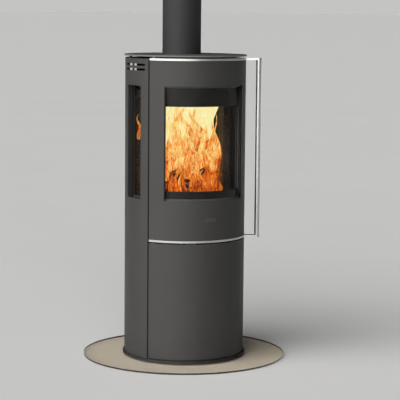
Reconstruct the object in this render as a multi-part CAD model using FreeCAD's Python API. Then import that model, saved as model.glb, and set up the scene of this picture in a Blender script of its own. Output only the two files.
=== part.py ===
"""Wood burning stove: a round steel convection stove on a clear hearth plate.

Units are millimetres and +Z is up. The origin is on the floor, under the middle of the
hearth plate. The front faces -Y, and +X is on the right of someone facing the stove.
Angles are in degrees round the stove's axis, from 0 at the front, positive towards +X.
Every height is measured from the foot of the stove, which stands on the hearth plate.
"""
import math
import os

import FreeCAD
import Part

# Whole stove
HEARTH_RADIUS = 405.0
HEARTH_THICK = 8.0
BODY_RADIUS = 240.0
SHEET = 3.0
BODY_HEIGHT = 1200.0
SHELL_INNER = BODY_RADIUS - SHEET
SHELL_FIT = 0.2

# Plinth, base and top
PLINTH_RADIUS = 246.0
PLINTH_HOLE = 150.0
PLINTH_HEIGHT = 10.0
BASE_TOP = PLINTH_HEIGHT + SHEET
TOP_PLATE_RADIUS = 243.0
TOP_PLATE_THICK = 6.0
TOP_GAP = 8.4
TOP_PLATE_LOW = BODY_HEIGHT - TOP_PLATE_THICK
RING_TOP = TOP_PLATE_LOW - TOP_GAP
RING_LOW = RING_TOP - SHEET
SHELL_TOP = RING_TOP + 0.4
RING_FRONT_RADIUS = 208.0
RING_HOLE_RADIUS = 150.0
RING_HOLE_Y = 25.0

# Doors
DOOR_HALF = 60.2
DOOR_GAP = 1.45
SIDE_FRONT = DOOR_HALF + DOOR_GAP
SIDE_REAR = 130.0
TRIM_THICK = 8.0
TRIM_INNER = 222.0
TRIM_OUTER = BODY_RADIUS + 1.0
FIRE_DOOR_LOW = 475.0
FIRE_DOOR_HIGH = 1188.0
SKIN_LOW = FIRE_DOOR_LOW + TRIM_THICK
SKIN_HIGH = FIRE_DOOR_HIGH - TRIM_THICK
STORAGE_DOOR_LOW = 14.0
STORAGE_DOOR_HIGH = 470.0
DOOR_FLANGE_INNER = 224.0
CATCH_ANGLE = 55.0
HINGE_RADIUS = 231.0
HINGE_ANGLE = -56.7
HINGE_PIN_R = 4.0
PIN_PLAY = 0.05
BRACKET_THICK = 3.0
BRACKET_HALF_WIDTH = 11.0
MID_BRACKET_LOW = 471.0

# Front window
WINDOW_HALF = 44.6
WINDOW_LOW = 639.0
WINDOW_HIGH = 1081.0
GLASS_THICK = 4.0
GLASS_INNER = 224.0
GLASS_OUTER = GLASS_INNER + GLASS_THICK
GLASS_HALF = 48.5
GLASS_LAP = 12.0
FRAME_INNER = 218.0
FRAME_OUTER = 222.0
FRAME_HALF = 56.0
FRAME_LOW = 490.0
FRAME_HIGH = 1112.0
SEAL_WIDTH = 12.0
SEAL_HALF = 55.5
SEAL_BITE = 0.4

# Handle
HANDLE_ANGLE = 58.4
HANDLE_RADIUS = 291.0
HANDLE_BAR_R = 10.0
HANDLE_SCREW_R = 4.0
HANDLE_SCREW_DEPTH = 15.0

# Side windows and vents in the side panels
SIDE_WINDOW_FRONT = 71.0
SIDE_WINDOW_REAR = 95.4
VENT_COLUMNS = ((66.0, 82.0), (85.0, 99.3))
VENT_LOWS = (1139.2, 1157.6)
VENT_HEIGHT = 8.5
SIDE_PANE_X = 212.0
SIDE_PANE_FRONT = -82.0
SIDE_PANE_REAR = 28.0

# Firebox
STEEL = 4.0
FACE_INNER = 210.0
FACE_OUTER = FACE_INNER + STEEL
FACE_HALF = 61.0
FACE_TOP = 1176.0
FIREBOX_LOW = 488.0
FIREBOX_HIGH = 1114.0
FIREBOX_X = 207.0
FIREBOX_CORNER_Y = -88.2
FIREBOX_BEND_Y = 95.0
FIREBOX_REAR_X = 165.5
FIREBOX_REAR_Y = 131.0
HEARTH_FLOOR = 604.0
FIRE_OPEN_HALF = 46.0
FIRE_OPEN_LOW = 645.0
FIRE_OPEN_HIGH = 1075.0
ASH_OPEN_HALF = 44.0
ASH_OPEN_LOW = 508.0
ASH_OPEN_HIGH = 600.0
BOARD = 25.0
FLOOR_BOARD = 28.0
BOARD_HIGH = 1035.0
GRATE_X = 95.0
GRATE_FRONT = -95.0
GRATE_REAR = 45.0

# Flue
FLUE_Y = 40.0
COLLAR_OUTER = 74.5
COLLAR_WALL = 3.0
PIPE_INNER = 75.0
PIPE_WALL = 2.0
PIPE_LOW = 1150.0
PIPE_LENGTH = 500.0
PIPE_NECK = 55.0
PIPE_NECK_OUTER = 74.8
PIPE_TAPER = 6.0

# Combustion air
AIR_BOX_LOW = 446.0
AIR_BOX_X = 100.0
AIR_BOX_FRONT = -150.0
AIR_BOX_REAR = 150.0
SPIGOT_R = 50.0
SPIGOT_WALL = 1.5
SPIGOT_Z = 395.0
SPIGOT_END = 283.0
SPIGOT_LENGTH = 45.0
DUCT_R = 48.0
AIR_PORT_X = 46.0
AIR_PORT_HALF = 12.0
AIR_PORT_HALF_HEIGHT = 6.0
SLIDER_Z = 467.0
SLIDER_RIM = 4.0
SLIDER_LAP = 2.0

# Latch above the firebox
LATCH_Z = 1138.0
TONGUE_SWING = 348.0
TONGUE_THICK = 5.0
TONGUE_HEIGHT = 14.0
TONGUE_BACK = -92.0
DETENT = 2.0
ROLLER_Y = -106.0
ROLLER_R = 8.0
ROLLER_AXLE_R = 2.5
ROLLER_CLEAR = 0.4
ARM_PIVOT_X = 186.0
ARM_PIVOT_Y = -72.0
ARM_PIVOT_R = 3.0

UP = FreeCAD.Vector(0, 0, 1)
ORIGIN = FreeCAD.Vector(0, 0, 0)
HUGE = 2000.0
WITHIN = 100.0
NEAR_AXIS = 0.0001


def at(radius, angle, z=0.0):
    """Return the point at a radius and an angle from the stove's axis."""
    turn = math.radians(angle)
    return FreeCAD.Vector(radius * math.sin(turn), -radius * math.cos(turn), z)


def box(x, y, z):
    """Return a block from three (low, high) pairs."""
    size = (x[1] - x[0], y[1] - y[0], z[1] - z[0])
    return Part.makeBox(*size, FreeCAD.Vector(x[0], y[0], z[0]))


def rod(radius, low, high, x=0.0, y=0.0):
    """Return an upright round bar."""
    return Part.makeCylinder(radius, high - low, FreeCAD.Vector(x, y, low), UP)


def tube(inner, outer, low, high, x=0.0, y=0.0):
    """Return an upright round tube."""
    return rod(outer, low, high, x, y).cut(rod(inner, low - 1, high + 1, x, y))


def sector(inner, outer, low, high, start, end):
    """Return a curved panel of the stove's round shell, between two angles."""
    wedge = Part.makeCylinder(outer, high - low, FreeCAD.Vector(0, 0, low), UP, end - start)
    wedge.rotate(ORIGIN, UP, start - 90.0)
    return wedge.cut(rod(inner, low - 1, high + 1))


def radial_plate(inner, outer, low, high, angle, thick):
    """Return a flat plate standing on a radius; positive thick lies towards larger angles."""
    side = (0.0, thick) if thick > 0 else (thick, 0.0)
    plate = box((inner, outer), side, (low, high))
    plate.rotate(ORIGIN, UP, angle - 90.0)
    return plate


def prism(points, low, high):
    """Return an upright prism on a flat outline of (x, y) corners."""
    corners = [FreeCAD.Vector(x, y, low) for x, y in points]
    face = Part.Face(Part.makePolygon(corners + corners[:1]))
    return face.extrude(FreeCAD.Vector(0, 0, high - low))


def joined(shapes):
    """Return one solid made of touching or overlapping shapes."""
    return shapes[0].fuse(list(shapes[1:])).removeSplitter()


def mirrored(shape):
    """Return the shape's twin on the other side of the stove."""
    return shape.mirror(ORIGIN, FreeCAD.Vector(1, 0, 0))


def both_sides(shape):
    """Return a group of the shape and its twin."""
    return Part.makeCompound([shape, mirrored(shape)])


def export(name, shape):
    """Stand the piece on the hearth plate and write its STEP file."""
    placed = shape.copy()
    placed.translate(FreeCAD.Vector(0, 0, HEARTH_THICK))
    placed.exportStep(f"parts/{name}.step")


# ---------------------------------------------------------------- base and shell


def hearth_plate():
    """Clear round plate that the stove stands on, with a ground edge."""
    plate = rod(HEARTH_RADIUS, -HEARTH_THICK, 0.0)
    rims = [e for e in plate.Edges if isinstance(e.Curve, Part.Circle)]
    return plate.makeChamfer(1.2, rims)


def plinth_ring():
    """Black ring, a little wider than the body, that shows as a thin dark line."""
    ring = tube(PLINTH_HOLE, PLINTH_RADIUS, 0.0, PLINTH_HEIGHT)
    pin = at(HINGE_RADIUS, HINGE_ANGLE)
    return ring.cut(rod(HINGE_PIN_R, PLINTH_HEIGHT - 6.0, HUGE, pin.x, pin.y))


def base_panel():
    """Floor of the wood compartment, lying on the plinth."""
    panel = rod(SHELL_INNER - SHELL_FIT, PLINTH_HEIGHT, BASE_TOP)
    pin = at(HINGE_RADIUS, HINGE_ANGLE)
    return panel.cut(rod(HINGE_PIN_R, 0.0, HUGE, pin.x, pin.y))


SEAM_SCREW_ANGLE = 128.0
SEAM_SCREW_HEIGHTS = (60.0, 420.0, 780.0, 1085.0)
SEAM_SCREW_R = 2.0
SEAM_SCREW_HOLE_R = 2.1
SEAM_SCREW_HEAD_R = 4.2
SEAM_SCREW_HEAD_RISE = 2.3
PANEL_FOLD_INNER = 219.0
REAR_PANEL_START = 126.0
REAR_CORNER_OPENING = (132.0, 147.5)
REAR_CORNER_LOW = 1100.0
REAR_CORNER_HIGH = 1170.0
LOUVRE_ROWS = 7
LOUVRE_LOW = 880.0
LOUVRE_PITCH = 26.0
LOUVRE_HEIGHT = 9.0
LOUVRE_SPAN = (164.0, 178.0)
SPIGOT_CLEAR = 4.0


def screw_points():
    """Angles and heights of the screws that hold the rear panel to the side panels."""
    return [(side * SEAM_SCREW_ANGLE, z) for side in (-1, 1) for z in SEAM_SCREW_HEIGHTS]


def radial_rod(radius, inner, outer, angle, z):
    """Return a round bar that lies along a radius."""
    start = at(inner, angle, z)
    return Part.makeCylinder(radius, outer - inner, start, at(1.0, angle))


def side_panel(hand):
    """One curved side panel, with its vents, window and folded front edge."""
    panel = sector(SHELL_INNER, BODY_RADIUS, PLINTH_HEIGHT, SHELL_TOP, SIDE_FRONT, SIDE_REAR)
    fold = radial_plate(PANEL_FOLD_INNER, SHELL_INNER + 1.0, PLINTH_HEIGHT + SHEET, RING_LOW,
                        SIDE_FRONT, SHEET)
    panel = joined([panel, fold])
    window = sector(SHELL_INNER - 8, HUGE, WINDOW_LOW, WINDOW_HIGH, SIDE_WINDOW_FRONT, SIDE_WINDOW_REAR)
    cuts = [window]
    for start, end in VENT_COLUMNS:
        for low in VENT_LOWS:
            cuts.append(sector(SHELL_INNER - 8, HUGE, low, low + VENT_HEIGHT, start, end))
    for angle, z in screw_points():
        if angle > 0:
            cuts.append(radial_rod(SEAM_SCREW_HOLE_R, SHELL_INNER - 8, BODY_RADIUS + 5, angle, z))
    panel = panel.cut(Part.makeCompound(cuts))
    return panel if hand > 0 else mirrored(panel)


def rear_panel():
    """Curved rear panel, lapped inside the side panels, with its air outlets."""
    outer = SHELL_INNER - SHELL_FIT
    inner = outer - SHEET
    panel = sector(inner, outer, BASE_TOP, RING_LOW, REAR_PANEL_START, 360.0 - REAR_PANEL_START)
    openings = [(REAR_CORNER_LOW, REAR_CORNER_HIGH, REAR_CORNER_OPENING)]
    for row in range(LOUVRE_ROWS):
        low = LOUVRE_LOW + LOUVRE_PITCH * row
        openings.append((low, low + LOUVRE_HEIGHT, LOUVRE_SPAN))
    cuts = []
    for low, high, (start, end) in openings:
        cuts.append(sector(inner - 8, HUGE, low, high, start, end))
        cuts.append(sector(inner - 8, HUGE, low, high, 360.0 - end, 360.0 - start))
    for angle, z in screw_points():
        cuts.append(radial_rod(SEAM_SCREW_HOLE_R, inner - 8, outer + 5, angle, z))
    cuts.append(radial_rod(SPIGOT_R + SPIGOT_CLEAR, WITHIN, HUGE, 180.0, SPIGOT_Z))
    return panel.cut(Part.makeCompound(cuts))


def rear_screws():
    """Round-headed screws along the two rear seams."""
    screws = []
    for angle, z in screw_points():
        shank = radial_rod(SEAM_SCREW_R, SHELL_INNER - 6.0, BODY_RADIUS + 0.5, angle, z)
        head = radial_rod(SEAM_SCREW_HEAD_R, BODY_RADIUS + 0.1, BODY_RADIUS + SEAM_SCREW_HEAD_RISE,
                          angle, z)
        screws.append(joined([shank, head]))
    return Part.makeCompound(screws)


RING_SIDE_GAP = 1.2
SPACER_SPOTS = ((226.0, 97.0), (226.0, 150.0), (200.0, 22.0))
SPACER_R = 6.0
FLUE_HOLE_CLEAR = 1.5


def top_ring():
    """Ring that ties the panels together at the top and carries the top plate."""
    front = rod(RING_FRONT_RADIUS, RING_LOW, RING_TOP)
    outer = SHELL_INNER - SHELL_FIT
    start = SIDE_FRONT + RING_SIDE_GAP
    sides = sector(WITHIN, outer, RING_LOW, RING_TOP, start, 360.0 - start)
    hole = rod(RING_HOLE_RADIUS, RING_LOW - 1, RING_TOP + 1, 0.0, RING_HOLE_Y)
    return joined([front, sides]).cut(hole)


def top_spacers():
    """Short posts that hold the top plate clear, so that warm air can leave under it."""
    posts = []
    for radius, angle in SPACER_SPOTS:
        for side in (-1, 1):
            foot = at(radius, side * angle)
            posts.append(rod(SPACER_R, RING_TOP, TOP_PLATE_LOW, foot.x, foot.y))
    return Part.makeCompound(posts)


def top_plate():
    """Round steel top plate with the hole for the flue pipe."""
    plate = rod(TOP_PLATE_RADIUS, TOP_PLATE_LOW, BODY_HEIGHT)
    rims = [e for e in plate.Edges if isinstance(e.Curve, Part.Circle)]
    plate = plate.makeChamfer(0.6, rims)
    return plate.cut(rod(PIPE_INNER + PIPE_WALL + FLUE_HOLE_CLEAR, 0.0, HUGE, 0.0, FLUE_Y))


# ---------------------------------------------------------------- firebox


LATCH_SLOT_X = (144.0, 160.0)
LATCH_SLOT_HEIGHT = 19.0
REAR_BOARD_X = 163.0
BOARD_FIT = 0.5
GROOVE_X = 55.0
GROOVE_HALF = 2.0
GROOVE_DEPTH = 3.0
SIDE_BOARD_Y = (24.0, 94.0)
FLOOR_BOARD_FIT = 1.5
DISH_FLARE = 22.0
DISH_START = 14.0
GRATE_FIT = 0.6
GRATE_THICK = 12.0
GRATE_SLOTS = 9
GRATE_PITCH = 18.0
GRATE_SLOT_HALF = 4.0
GRATE_RIM = 14.0
RETAINER_INNER = 198.0
RETAINER_OUTER = 201.0
RETAINER_HEIGHT = 34.0
RETAINER_HALF = 44.0
RETAINER_SLOTS = range(-36, 37, 12)
RETAINER_SLOT_HALF = 4.0
RETAINER_SLOT_LOW = 11.0
RETAINER_SLOT_HIGH = 23.0
BAFFLE_CORNERS = ((200.0, -70.0), (200.0, 93.0), (164.0, 125.0))
PAN_X = 120.0
PAN_FRONT = -150.0
PAN_REAR = 60.0
PAN_HEIGHT = 60.0
PAN_WALL = 1.5
PAN_LIP_X = 45.0
PAN_LIP_REACH = 18.0
PANE_LAP = 12.0


def firebox_outline(inset):
    """Corners of the firebox plan behind its curved face, set in from the inner walls."""
    x = FIREBOX_X - inset
    rear_x = FIREBOX_REAR_X - 0.4 * inset
    rear_y = FIREBOX_REAR_Y - inset
    wall = [(x, FIREBOX_CORNER_Y), (x, FIREBOX_BEND_Y - 0.4 * inset), (rear_x, rear_y)]
    return wall + [(-px, py) for px, py in reversed(wall)]


def firebox_slab(inset, low, high):
    """Return a slab that fills the firebox plan, with a round front."""
    back = prism(firebox_outline(inset), low, high)
    front = sector(NEAR_AXIS, FACE_INNER - inset, low, high, -FACE_HALF, FACE_HALF)
    cheek = at(FACE_INNER - inset, FACE_HALF)
    x = FIREBOX_X - inset
    corner = prism([(0.0, FIREBOX_CORNER_Y), (x, FIREBOX_CORNER_Y), (cheek.x, cheek.y), (0.0, cheek.y)],
                   low, high)
    return joined([back, front, corner, mirrored(corner)])


def firebox_front_frame():
    """Curved steel face that the fire door's rope seal closes on."""
    face = sector(FACE_INNER, FACE_OUTER, FIREBOX_LOW, FACE_TOP, -FACE_HALF, FACE_HALF)
    fire = sector(WITHIN, HUGE, FIRE_OPEN_LOW, FIRE_OPEN_HIGH, -FIRE_OPEN_HALF, FIRE_OPEN_HALF)
    ash = sector(WITHIN, HUGE, ASH_OPEN_LOW, ASH_OPEN_HIGH, -ASH_OPEN_HALF, ASH_OPEN_HALF)
    slot = box(LATCH_SLOT_X, (-200.0, -100.0), (LATCH_Z - 3, LATCH_Z + LATCH_SLOT_HEIGHT))
    return face.cut(Part.makeCompound([fire, ash, slot]))


def firebox_side(hand):
    """Side wall of the firebox, joined to the face by a short slanted cheek."""
    inner_edge = at(FACE_INNER, FACE_HALF)
    outer_edge = at(FACE_OUTER, FACE_HALF)
    outline = [
        (inner_edge.x, inner_edge.y),
        (outer_edge.x, outer_edge.y),
        (FIREBOX_X + STEEL, FIREBOX_CORNER_Y - 2.3),
        (FIREBOX_X + STEEL, FIREBOX_BEND_Y),
        (FIREBOX_X, FIREBOX_BEND_Y),
        (FIREBOX_X, FIREBOX_CORNER_Y),
    ]
    wall = prism(outline, FIREBOX_LOW, FIREBOX_HIGH)
    window = box((FIREBOX_X - 5, HUGE), (SIDE_PANE_FRONT + 8, SIDE_PANE_REAR - 8),
                 (FIRE_OPEN_LOW, FIRE_OPEN_HIGH))
    wall = wall.cut(window)
    return wall if hand > 0 else mirrored(wall)


def firebox_rear_wall():
    """Rear wall of the firebox, folded forward at both ends."""
    outer_x = FIREBOX_X + STEEL
    outer_rear_x = FIREBOX_REAR_X + 1.5
    outer_rear_y = FIREBOX_REAR_Y + STEEL
    half = [
        (outer_x, FIREBOX_BEND_Y),
        (outer_x, FIREBOX_BEND_Y + 2.0),
        (outer_rear_x, outer_rear_y),
    ]
    back = half + [(-x, y) for x, y in reversed(half)]
    front = [(-FIREBOX_X, FIREBOX_BEND_Y), (-FIREBOX_REAR_X, FIREBOX_REAR_Y)]
    front += [(-x, y) for x, y in reversed(front)]
    return prism(back + front, FIREBOX_LOW, FIREBOX_HIGH)


def firebox_floor():
    """Steel floor under the hearth boards, open under the grate."""
    hole = box((-GRATE_X + 15, GRATE_X - 15), (GRATE_FRONT + 12, GRATE_REAR - 12), (0.0, HUGE))
    return firebox_slab(0.0, HEARTH_FLOOR, HEARTH_FLOOR + STEEL).cut(hole)


def ash_chamber_floor():
    """Bottom of the ash chamber, with the port that lets air up from the air box."""
    port = box((-FIRE_PORT_X, FIRE_PORT_X), FIRE_PORT_Y, (0.0, HUGE))
    return firebox_slab(0.0, FIREBOX_LOW, FIREBOX_LOW + STEEL).cut(port)


def firebox_top():
    """Top of the firebox, with the flue outlet."""
    lid = firebox_slab(0.0, FIREBOX_HIGH - STEEL, FIREBOX_HIGH)
    return lid.cut(rod(COLLAR_OUTER - COLLAR_WALL, 0.0, HUGE, 0.0, FLUE_Y))


def lining_rear():
    """Pale heat board along the rear wall, with two grooves down its face."""
    low = HEARTH_FLOOR + STEEL + FLOOR_BOARD
    front = FIREBOX_REAR_Y - BOARD - BOARD_FIT
    board = box((-REAR_BOARD_X, REAR_BOARD_X), (front, front + BOARD), (low, BOARD_HIGH))
    for x in (-GROOVE_X, GROOVE_X):
        groove = box((x - GROOVE_HALF, x + GROOVE_HALF), (front - 1, front + GROOVE_DEPTH), (0.0, HUGE))
        board = board.cut(groove)
    return board


def lining_sides():
    """Heat boards on the side walls, behind the side windows."""
    low = HEARTH_FLOOR + STEEL + FLOOR_BOARD
    outer = FIREBOX_X - BOARD_FIT
    board = box((outer - BOARD, outer), SIDE_BOARD_Y, (low, BOARD_HIGH))
    return both_sides(board)


def lining_floor():
    """Heat board that makes the hearth, open round the grate and dished towards it."""
    low = HEARTH_FLOOR + STEEL
    board = firebox_slab(FLOOR_BOARD_FIT, low, low + FLOOR_BOARD)
    bottom = [(-GRATE_X, GRATE_FRONT), (GRATE_X, GRATE_FRONT),
              (GRATE_X, GRATE_REAR), (-GRATE_X, GRATE_REAR)]
    middle = 0.5 * (GRATE_FRONT + GRATE_REAR)
    rings = []
    for z, grow in ((low - 1.0, 0.0), (low + DISH_START, 0.0), (low + FLOOR_BOARD + 1.0, DISH_FLARE)):
        corners = []
        for x, y in bottom:
            out_y = grow if y > middle else -grow
            corners.append(FreeCAD.Vector(x + math.copysign(grow, x), y + out_y, z))
        rings.append(Part.makePolygon(corners + corners[:1]))
    return board.cut(Part.makeLoft(rings, True, True))


def grate():
    """Cast iron grate with long slots for ash and air."""
    low = HEARTH_FLOOR + STEEL
    half = GRATE_X - GRATE_FIT
    plate = box((-half, half), (GRATE_FRONT + GRATE_FIT, GRATE_REAR - GRATE_FIT), (low, low + GRATE_THICK))
    cuts = []
    for column in range(GRATE_SLOTS):
        x = (column - 0.5 * (GRATE_SLOTS - 1)) * GRATE_PITCH
        cuts.append(box((x - GRATE_SLOT_HALF, x + GRATE_SLOT_HALF),
                        (GRATE_FRONT + GRATE_RIM, GRATE_REAR - GRATE_RIM), (0.0, HUGE)))
    return plate.cut(Part.makeCompound(cuts))


def log_retainer():
    """Curved steel guard that keeps the logs off the glass."""
    low = HEARTH_FLOOR + STEEL + FLOOR_BOARD
    guard = sector(RETAINER_INNER, RETAINER_OUTER, low, low + RETAINER_HEIGHT,
                   -RETAINER_HALF, RETAINER_HALF)
    slot = (low + RETAINER_SLOT_LOW, low + RETAINER_SLOT_HIGH)
    cuts = []
    for angle in RETAINER_SLOTS:
        cuts.append(sector(RETAINER_INNER - 8, RETAINER_OUTER + 8, *slot,
                           angle - RETAINER_SLOT_HALF, angle + RETAINER_SLOT_HALF))
    return guard.cut(Part.makeCompound(cuts))


def baffle_plate():
    """Heat board over the fire, resting on the linings, open along the front."""
    outline = list(BAFFLE_CORNERS) + [(-x, y) for x, y in reversed(BAFFLE_CORNERS)]
    return prism(outline, BOARD_HIGH, BOARD_HIGH + BOARD)


def ash_pan():
    """Sheet steel pan under the grate, with a folded lip to pull it out by."""
    low = FIREBOX_LOW + STEEL
    inside = PAN_X - PAN_WALL
    pan = box((-PAN_X, PAN_X), (PAN_FRONT, PAN_REAR), (low, low + PAN_HEIGHT))
    hollow = box((-inside, inside), (PAN_FRONT + PAN_WALL, PAN_REAR - PAN_WALL), (low + PAN_WALL, HUGE))
    lip = box((-PAN_LIP_X, PAN_LIP_X), (PAN_FRONT - PAN_LIP_REACH, PAN_FRONT + 1.0),
              (low + PAN_HEIGHT - PAN_WALL, low + PAN_HEIGHT))
    return joined([pan.cut(hollow), lip])


def side_glass(hand):
    """Flat heat-proof pane over the window in the firebox side wall."""
    pane = box((SIDE_PANE_X, SIDE_PANE_X + GLASS_THICK), (SIDE_PANE_FRONT, SIDE_PANE_REAR),
               (FIRE_OPEN_LOW - PANE_LAP, FIRE_OPEN_HIGH + PANE_LAP))
    return pane if hand > 0 else mirrored(pane)


def side_glass_seals():
    """Flat rope gaskets between the side panes and the firebox."""
    x = (FIREBOX_X + STEEL, SIDE_PANE_X)
    outer = box(x, (SIDE_PANE_FRONT + 1, SIDE_PANE_REAR - 1), (FIRE_OPEN_LOW - 11, FIRE_OPEN_HIGH + 11))
    inner = box((0.0, HUGE), (SIDE_PANE_FRONT + 8, SIDE_PANE_REAR - 8), (FIRE_OPEN_LOW, FIRE_OPEN_HIGH))
    return both_sides(outer.cut(inner))


def side_glass_clips():
    """Folded clips that hold the side panes at top and bottom."""
    wall = FIREBOX_X + STEEL
    face = SIDE_PANE_X + GLASS_THICK
    clips = []
    for y in (-62.0, 8.0):
        for edge, out in ((FIRE_OPEN_HIGH + 12.0, 1.0), (FIRE_OPEN_LOW - 12.0, -1.0)):
            z_foot = sorted((edge, edge + 12.0 * out))
            z_lip = sorted((edge - 7.0 * out, edge + 2.0 * out))
            foot = box((wall, wall + 1.5), (y - 10, y + 10), z_foot)
            step = box((wall, face + 1.5), (y - 10, y + 10), sorted((edge + 0.3 * out, edge + 1.8 * out)))
            lip = box((face, face + 1.5), (y - 10, y + 10), z_lip)
            clips.append(joined([foot, step, lip]))
    return Part.makeCompound([both_sides(clip) for clip in clips])


def side_reveals():
    """Black frames that close the space between the shell's side windows and the panes."""
    front = at(BODY_RADIUS, SIDE_WINDOW_FRONT).y
    rear = at(BODY_RADIUS, SIDE_WINDOW_REAR).y
    x = (SIDE_PANE_X + GLASS_THICK + 2.0, BODY_RADIUS)
    outer = box(x, (front - 2, rear + 2), (WINDOW_LOW - 2, WINDOW_HIGH + 2))
    inner = box((0.0, HUGE), (front, rear), (WINDOW_LOW, WINDOW_HIGH))
    frame = outer.cut(inner).common(rod(SHELL_INNER - 0.1, 0.0, HUGE))
    return both_sides(frame)


# ---------------------------------------------------------------- flue and air


def flue_collar():
    """Flanged spigot on the firebox that the flue pipe slides over."""
    inner = COLLAR_OUTER - COLLAR_WALL
    neck = tube(inner, COLLAR_OUTER, FIREBOX_HIGH, PIPE_LOW + 85.0, 0.0, FLUE_Y)
    flange = tube(inner, COLLAR_OUTER + 14.0, FIREBOX_HIGH, FIREBOX_HIGH + 4.0, 0.0, FLUE_Y)
    return joined([neck, flange])


def flue_pipe():
    """First half metre of the flue, drawn in at its top to enter the next length."""
    high = PIPE_LOW + PIPE_LENGTH
    neck_low = high - PIPE_NECK
    body_high = neck_low - PIPE_TAPER
    outline = [
        (PIPE_INNER, PIPE_LOW),
        (PIPE_INNER + PIPE_WALL, PIPE_LOW),
        (PIPE_INNER + PIPE_WALL, body_high),
        (PIPE_NECK_OUTER, neck_low),
        (PIPE_NECK_OUTER, high),
        (PIPE_NECK_OUTER - PIPE_WALL, high),
        (PIPE_NECK_OUTER - PIPE_WALL, neck_low),
        (PIPE_INNER, body_high),
    ]
    corners = [FreeCAD.Vector(x, 0, z) for x, z in outline]
    face = Part.Face(Part.makePolygon(corners + corners[:1]))
    pipe = face.revolve(ORIGIN, UP, 360)
    pipe.translate(FreeCAD.Vector(0, FLUE_Y, 0))
    return pipe


AIR_BOX_WALL = 2.0
DROP_X = 62.0
DROP_FRONT = 112.0
DROP_LOW = 335.0
FIRE_PORT_X = 60.0
FIRE_PORT_Y = (75.0, 110.0)


def air_box():
    """Welded box that leads combustion air from the rear spigot to the sliders and the fire."""
    wall = AIR_BOX_WALL
    top = FIREBOX_LOW
    flat = box((-AIR_BOX_X, AIR_BOX_X), (AIR_BOX_FRONT, AIR_BOX_REAR), (AIR_BOX_LOW, top))
    drop = box((-DROP_X, DROP_X), (DROP_FRONT, AIR_BOX_REAR), (DROP_LOW, AIR_BOX_LOW + 5.0))
    flat_in = box((-AIR_BOX_X + wall, AIR_BOX_X - wall), (AIR_BOX_FRONT + wall, AIR_BOX_REAR - wall),
                  (AIR_BOX_LOW + wall, top - wall))
    drop_in = box((-DROP_X + wall, DROP_X - wall), (DROP_FRONT + wall, AIR_BOX_REAR - wall),
                  (DROP_LOW + wall, AIR_BOX_LOW + 6.0))
    port = box((-FIRE_PORT_X, FIRE_PORT_X), FIRE_PORT_Y, (AIR_BOX_LOW + 10.0, HUGE))
    spigot_hole = Part.makeCylinder(DUCT_R - SPIGOT_WALL, 60.0,
                                    FreeCAD.Vector(0, 130.0, SPIGOT_Z), FreeCAD.Vector(0, 1, 0))
    vent = box((AIR_PORT_X - AIR_PORT_HALF, AIR_PORT_X + AIR_PORT_HALF), (-200.0, -140.0),
               (SLIDER_Z - AIR_PORT_HALF_HEIGHT, SLIDER_Z + AIR_PORT_HALF_HEIGHT))
    shell = joined([flat, drop])
    return shell.cut(Part.makeCompound([joined([flat_in, drop_in]), port, spigot_hole, both_sides(vent)]))


def air_spigot():
    """Round duct from the air box out through the rear panel, with a wider end for a hose."""
    along = FreeCAD.Vector(0, 1, 0)
    step = SPIGOT_END - SPIGOT_LENGTH
    duct = Part.makeCylinder(DUCT_R, step - AIR_BOX_REAR, FreeCAD.Vector(0, AIR_BOX_REAR, SPIGOT_Z), along)
    end = Part.makeCylinder(SPIGOT_R, SPIGOT_LENGTH, FreeCAD.Vector(0, step, SPIGOT_Z), along)
    duct_bore = Part.makeCylinder(DUCT_R - SPIGOT_WALL, SPIGOT_END,
                                  FreeCAD.Vector(0, DROP_FRONT, SPIGOT_Z), along)
    end_bore = Part.makeCylinder(SPIGOT_R - SPIGOT_WALL, SPIGOT_LENGTH,
                                 FreeCAD.Vector(0, step + SPIGOT_WALL, SPIGOT_Z), along)
    return joined([duct, end]).cut(duct_bore).cut(end_bore)


RAIL_OFFSET = 13.0
RAIL_WIDTH = 3.0
RAIL_WEB = 4.0
RAIL_LIP = 1.5
SLIDER_THICK = 3.0
SLIDER_HALF_HEIGHT = 12.6
KNOB_DROP = 3.0
KNOB_OFFSET = 2.0
KNOB_R = 8.0
KNOB_LENGTH = 18.0
STEM_R = 3.5
STEM_LENGTH = 16.0


def slider_guides():
    """Two rails that hold the air sliders against the front of the air box."""
    rails = []
    for side in (-1, 1):
        edge = SLIDER_Z + side * RAIL_OFFSET
        outer = edge + side * RAIL_WIDTH
        lip_back = AIR_BOX_FRONT - RAIL_WEB
        web = box((-AIR_BOX_X, AIR_BOX_X), (lip_back, AIR_BOX_FRONT), sorted((edge, outer)))
        lip = box((-AIR_BOX_X, AIR_BOX_X), (lip_back - RAIL_LIP, lip_back),
                  sorted((edge - side * RAIL_WIDTH, outer)))
        rails.append(joined([web, lip]))
    return Part.makeCompound(rails)


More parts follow.
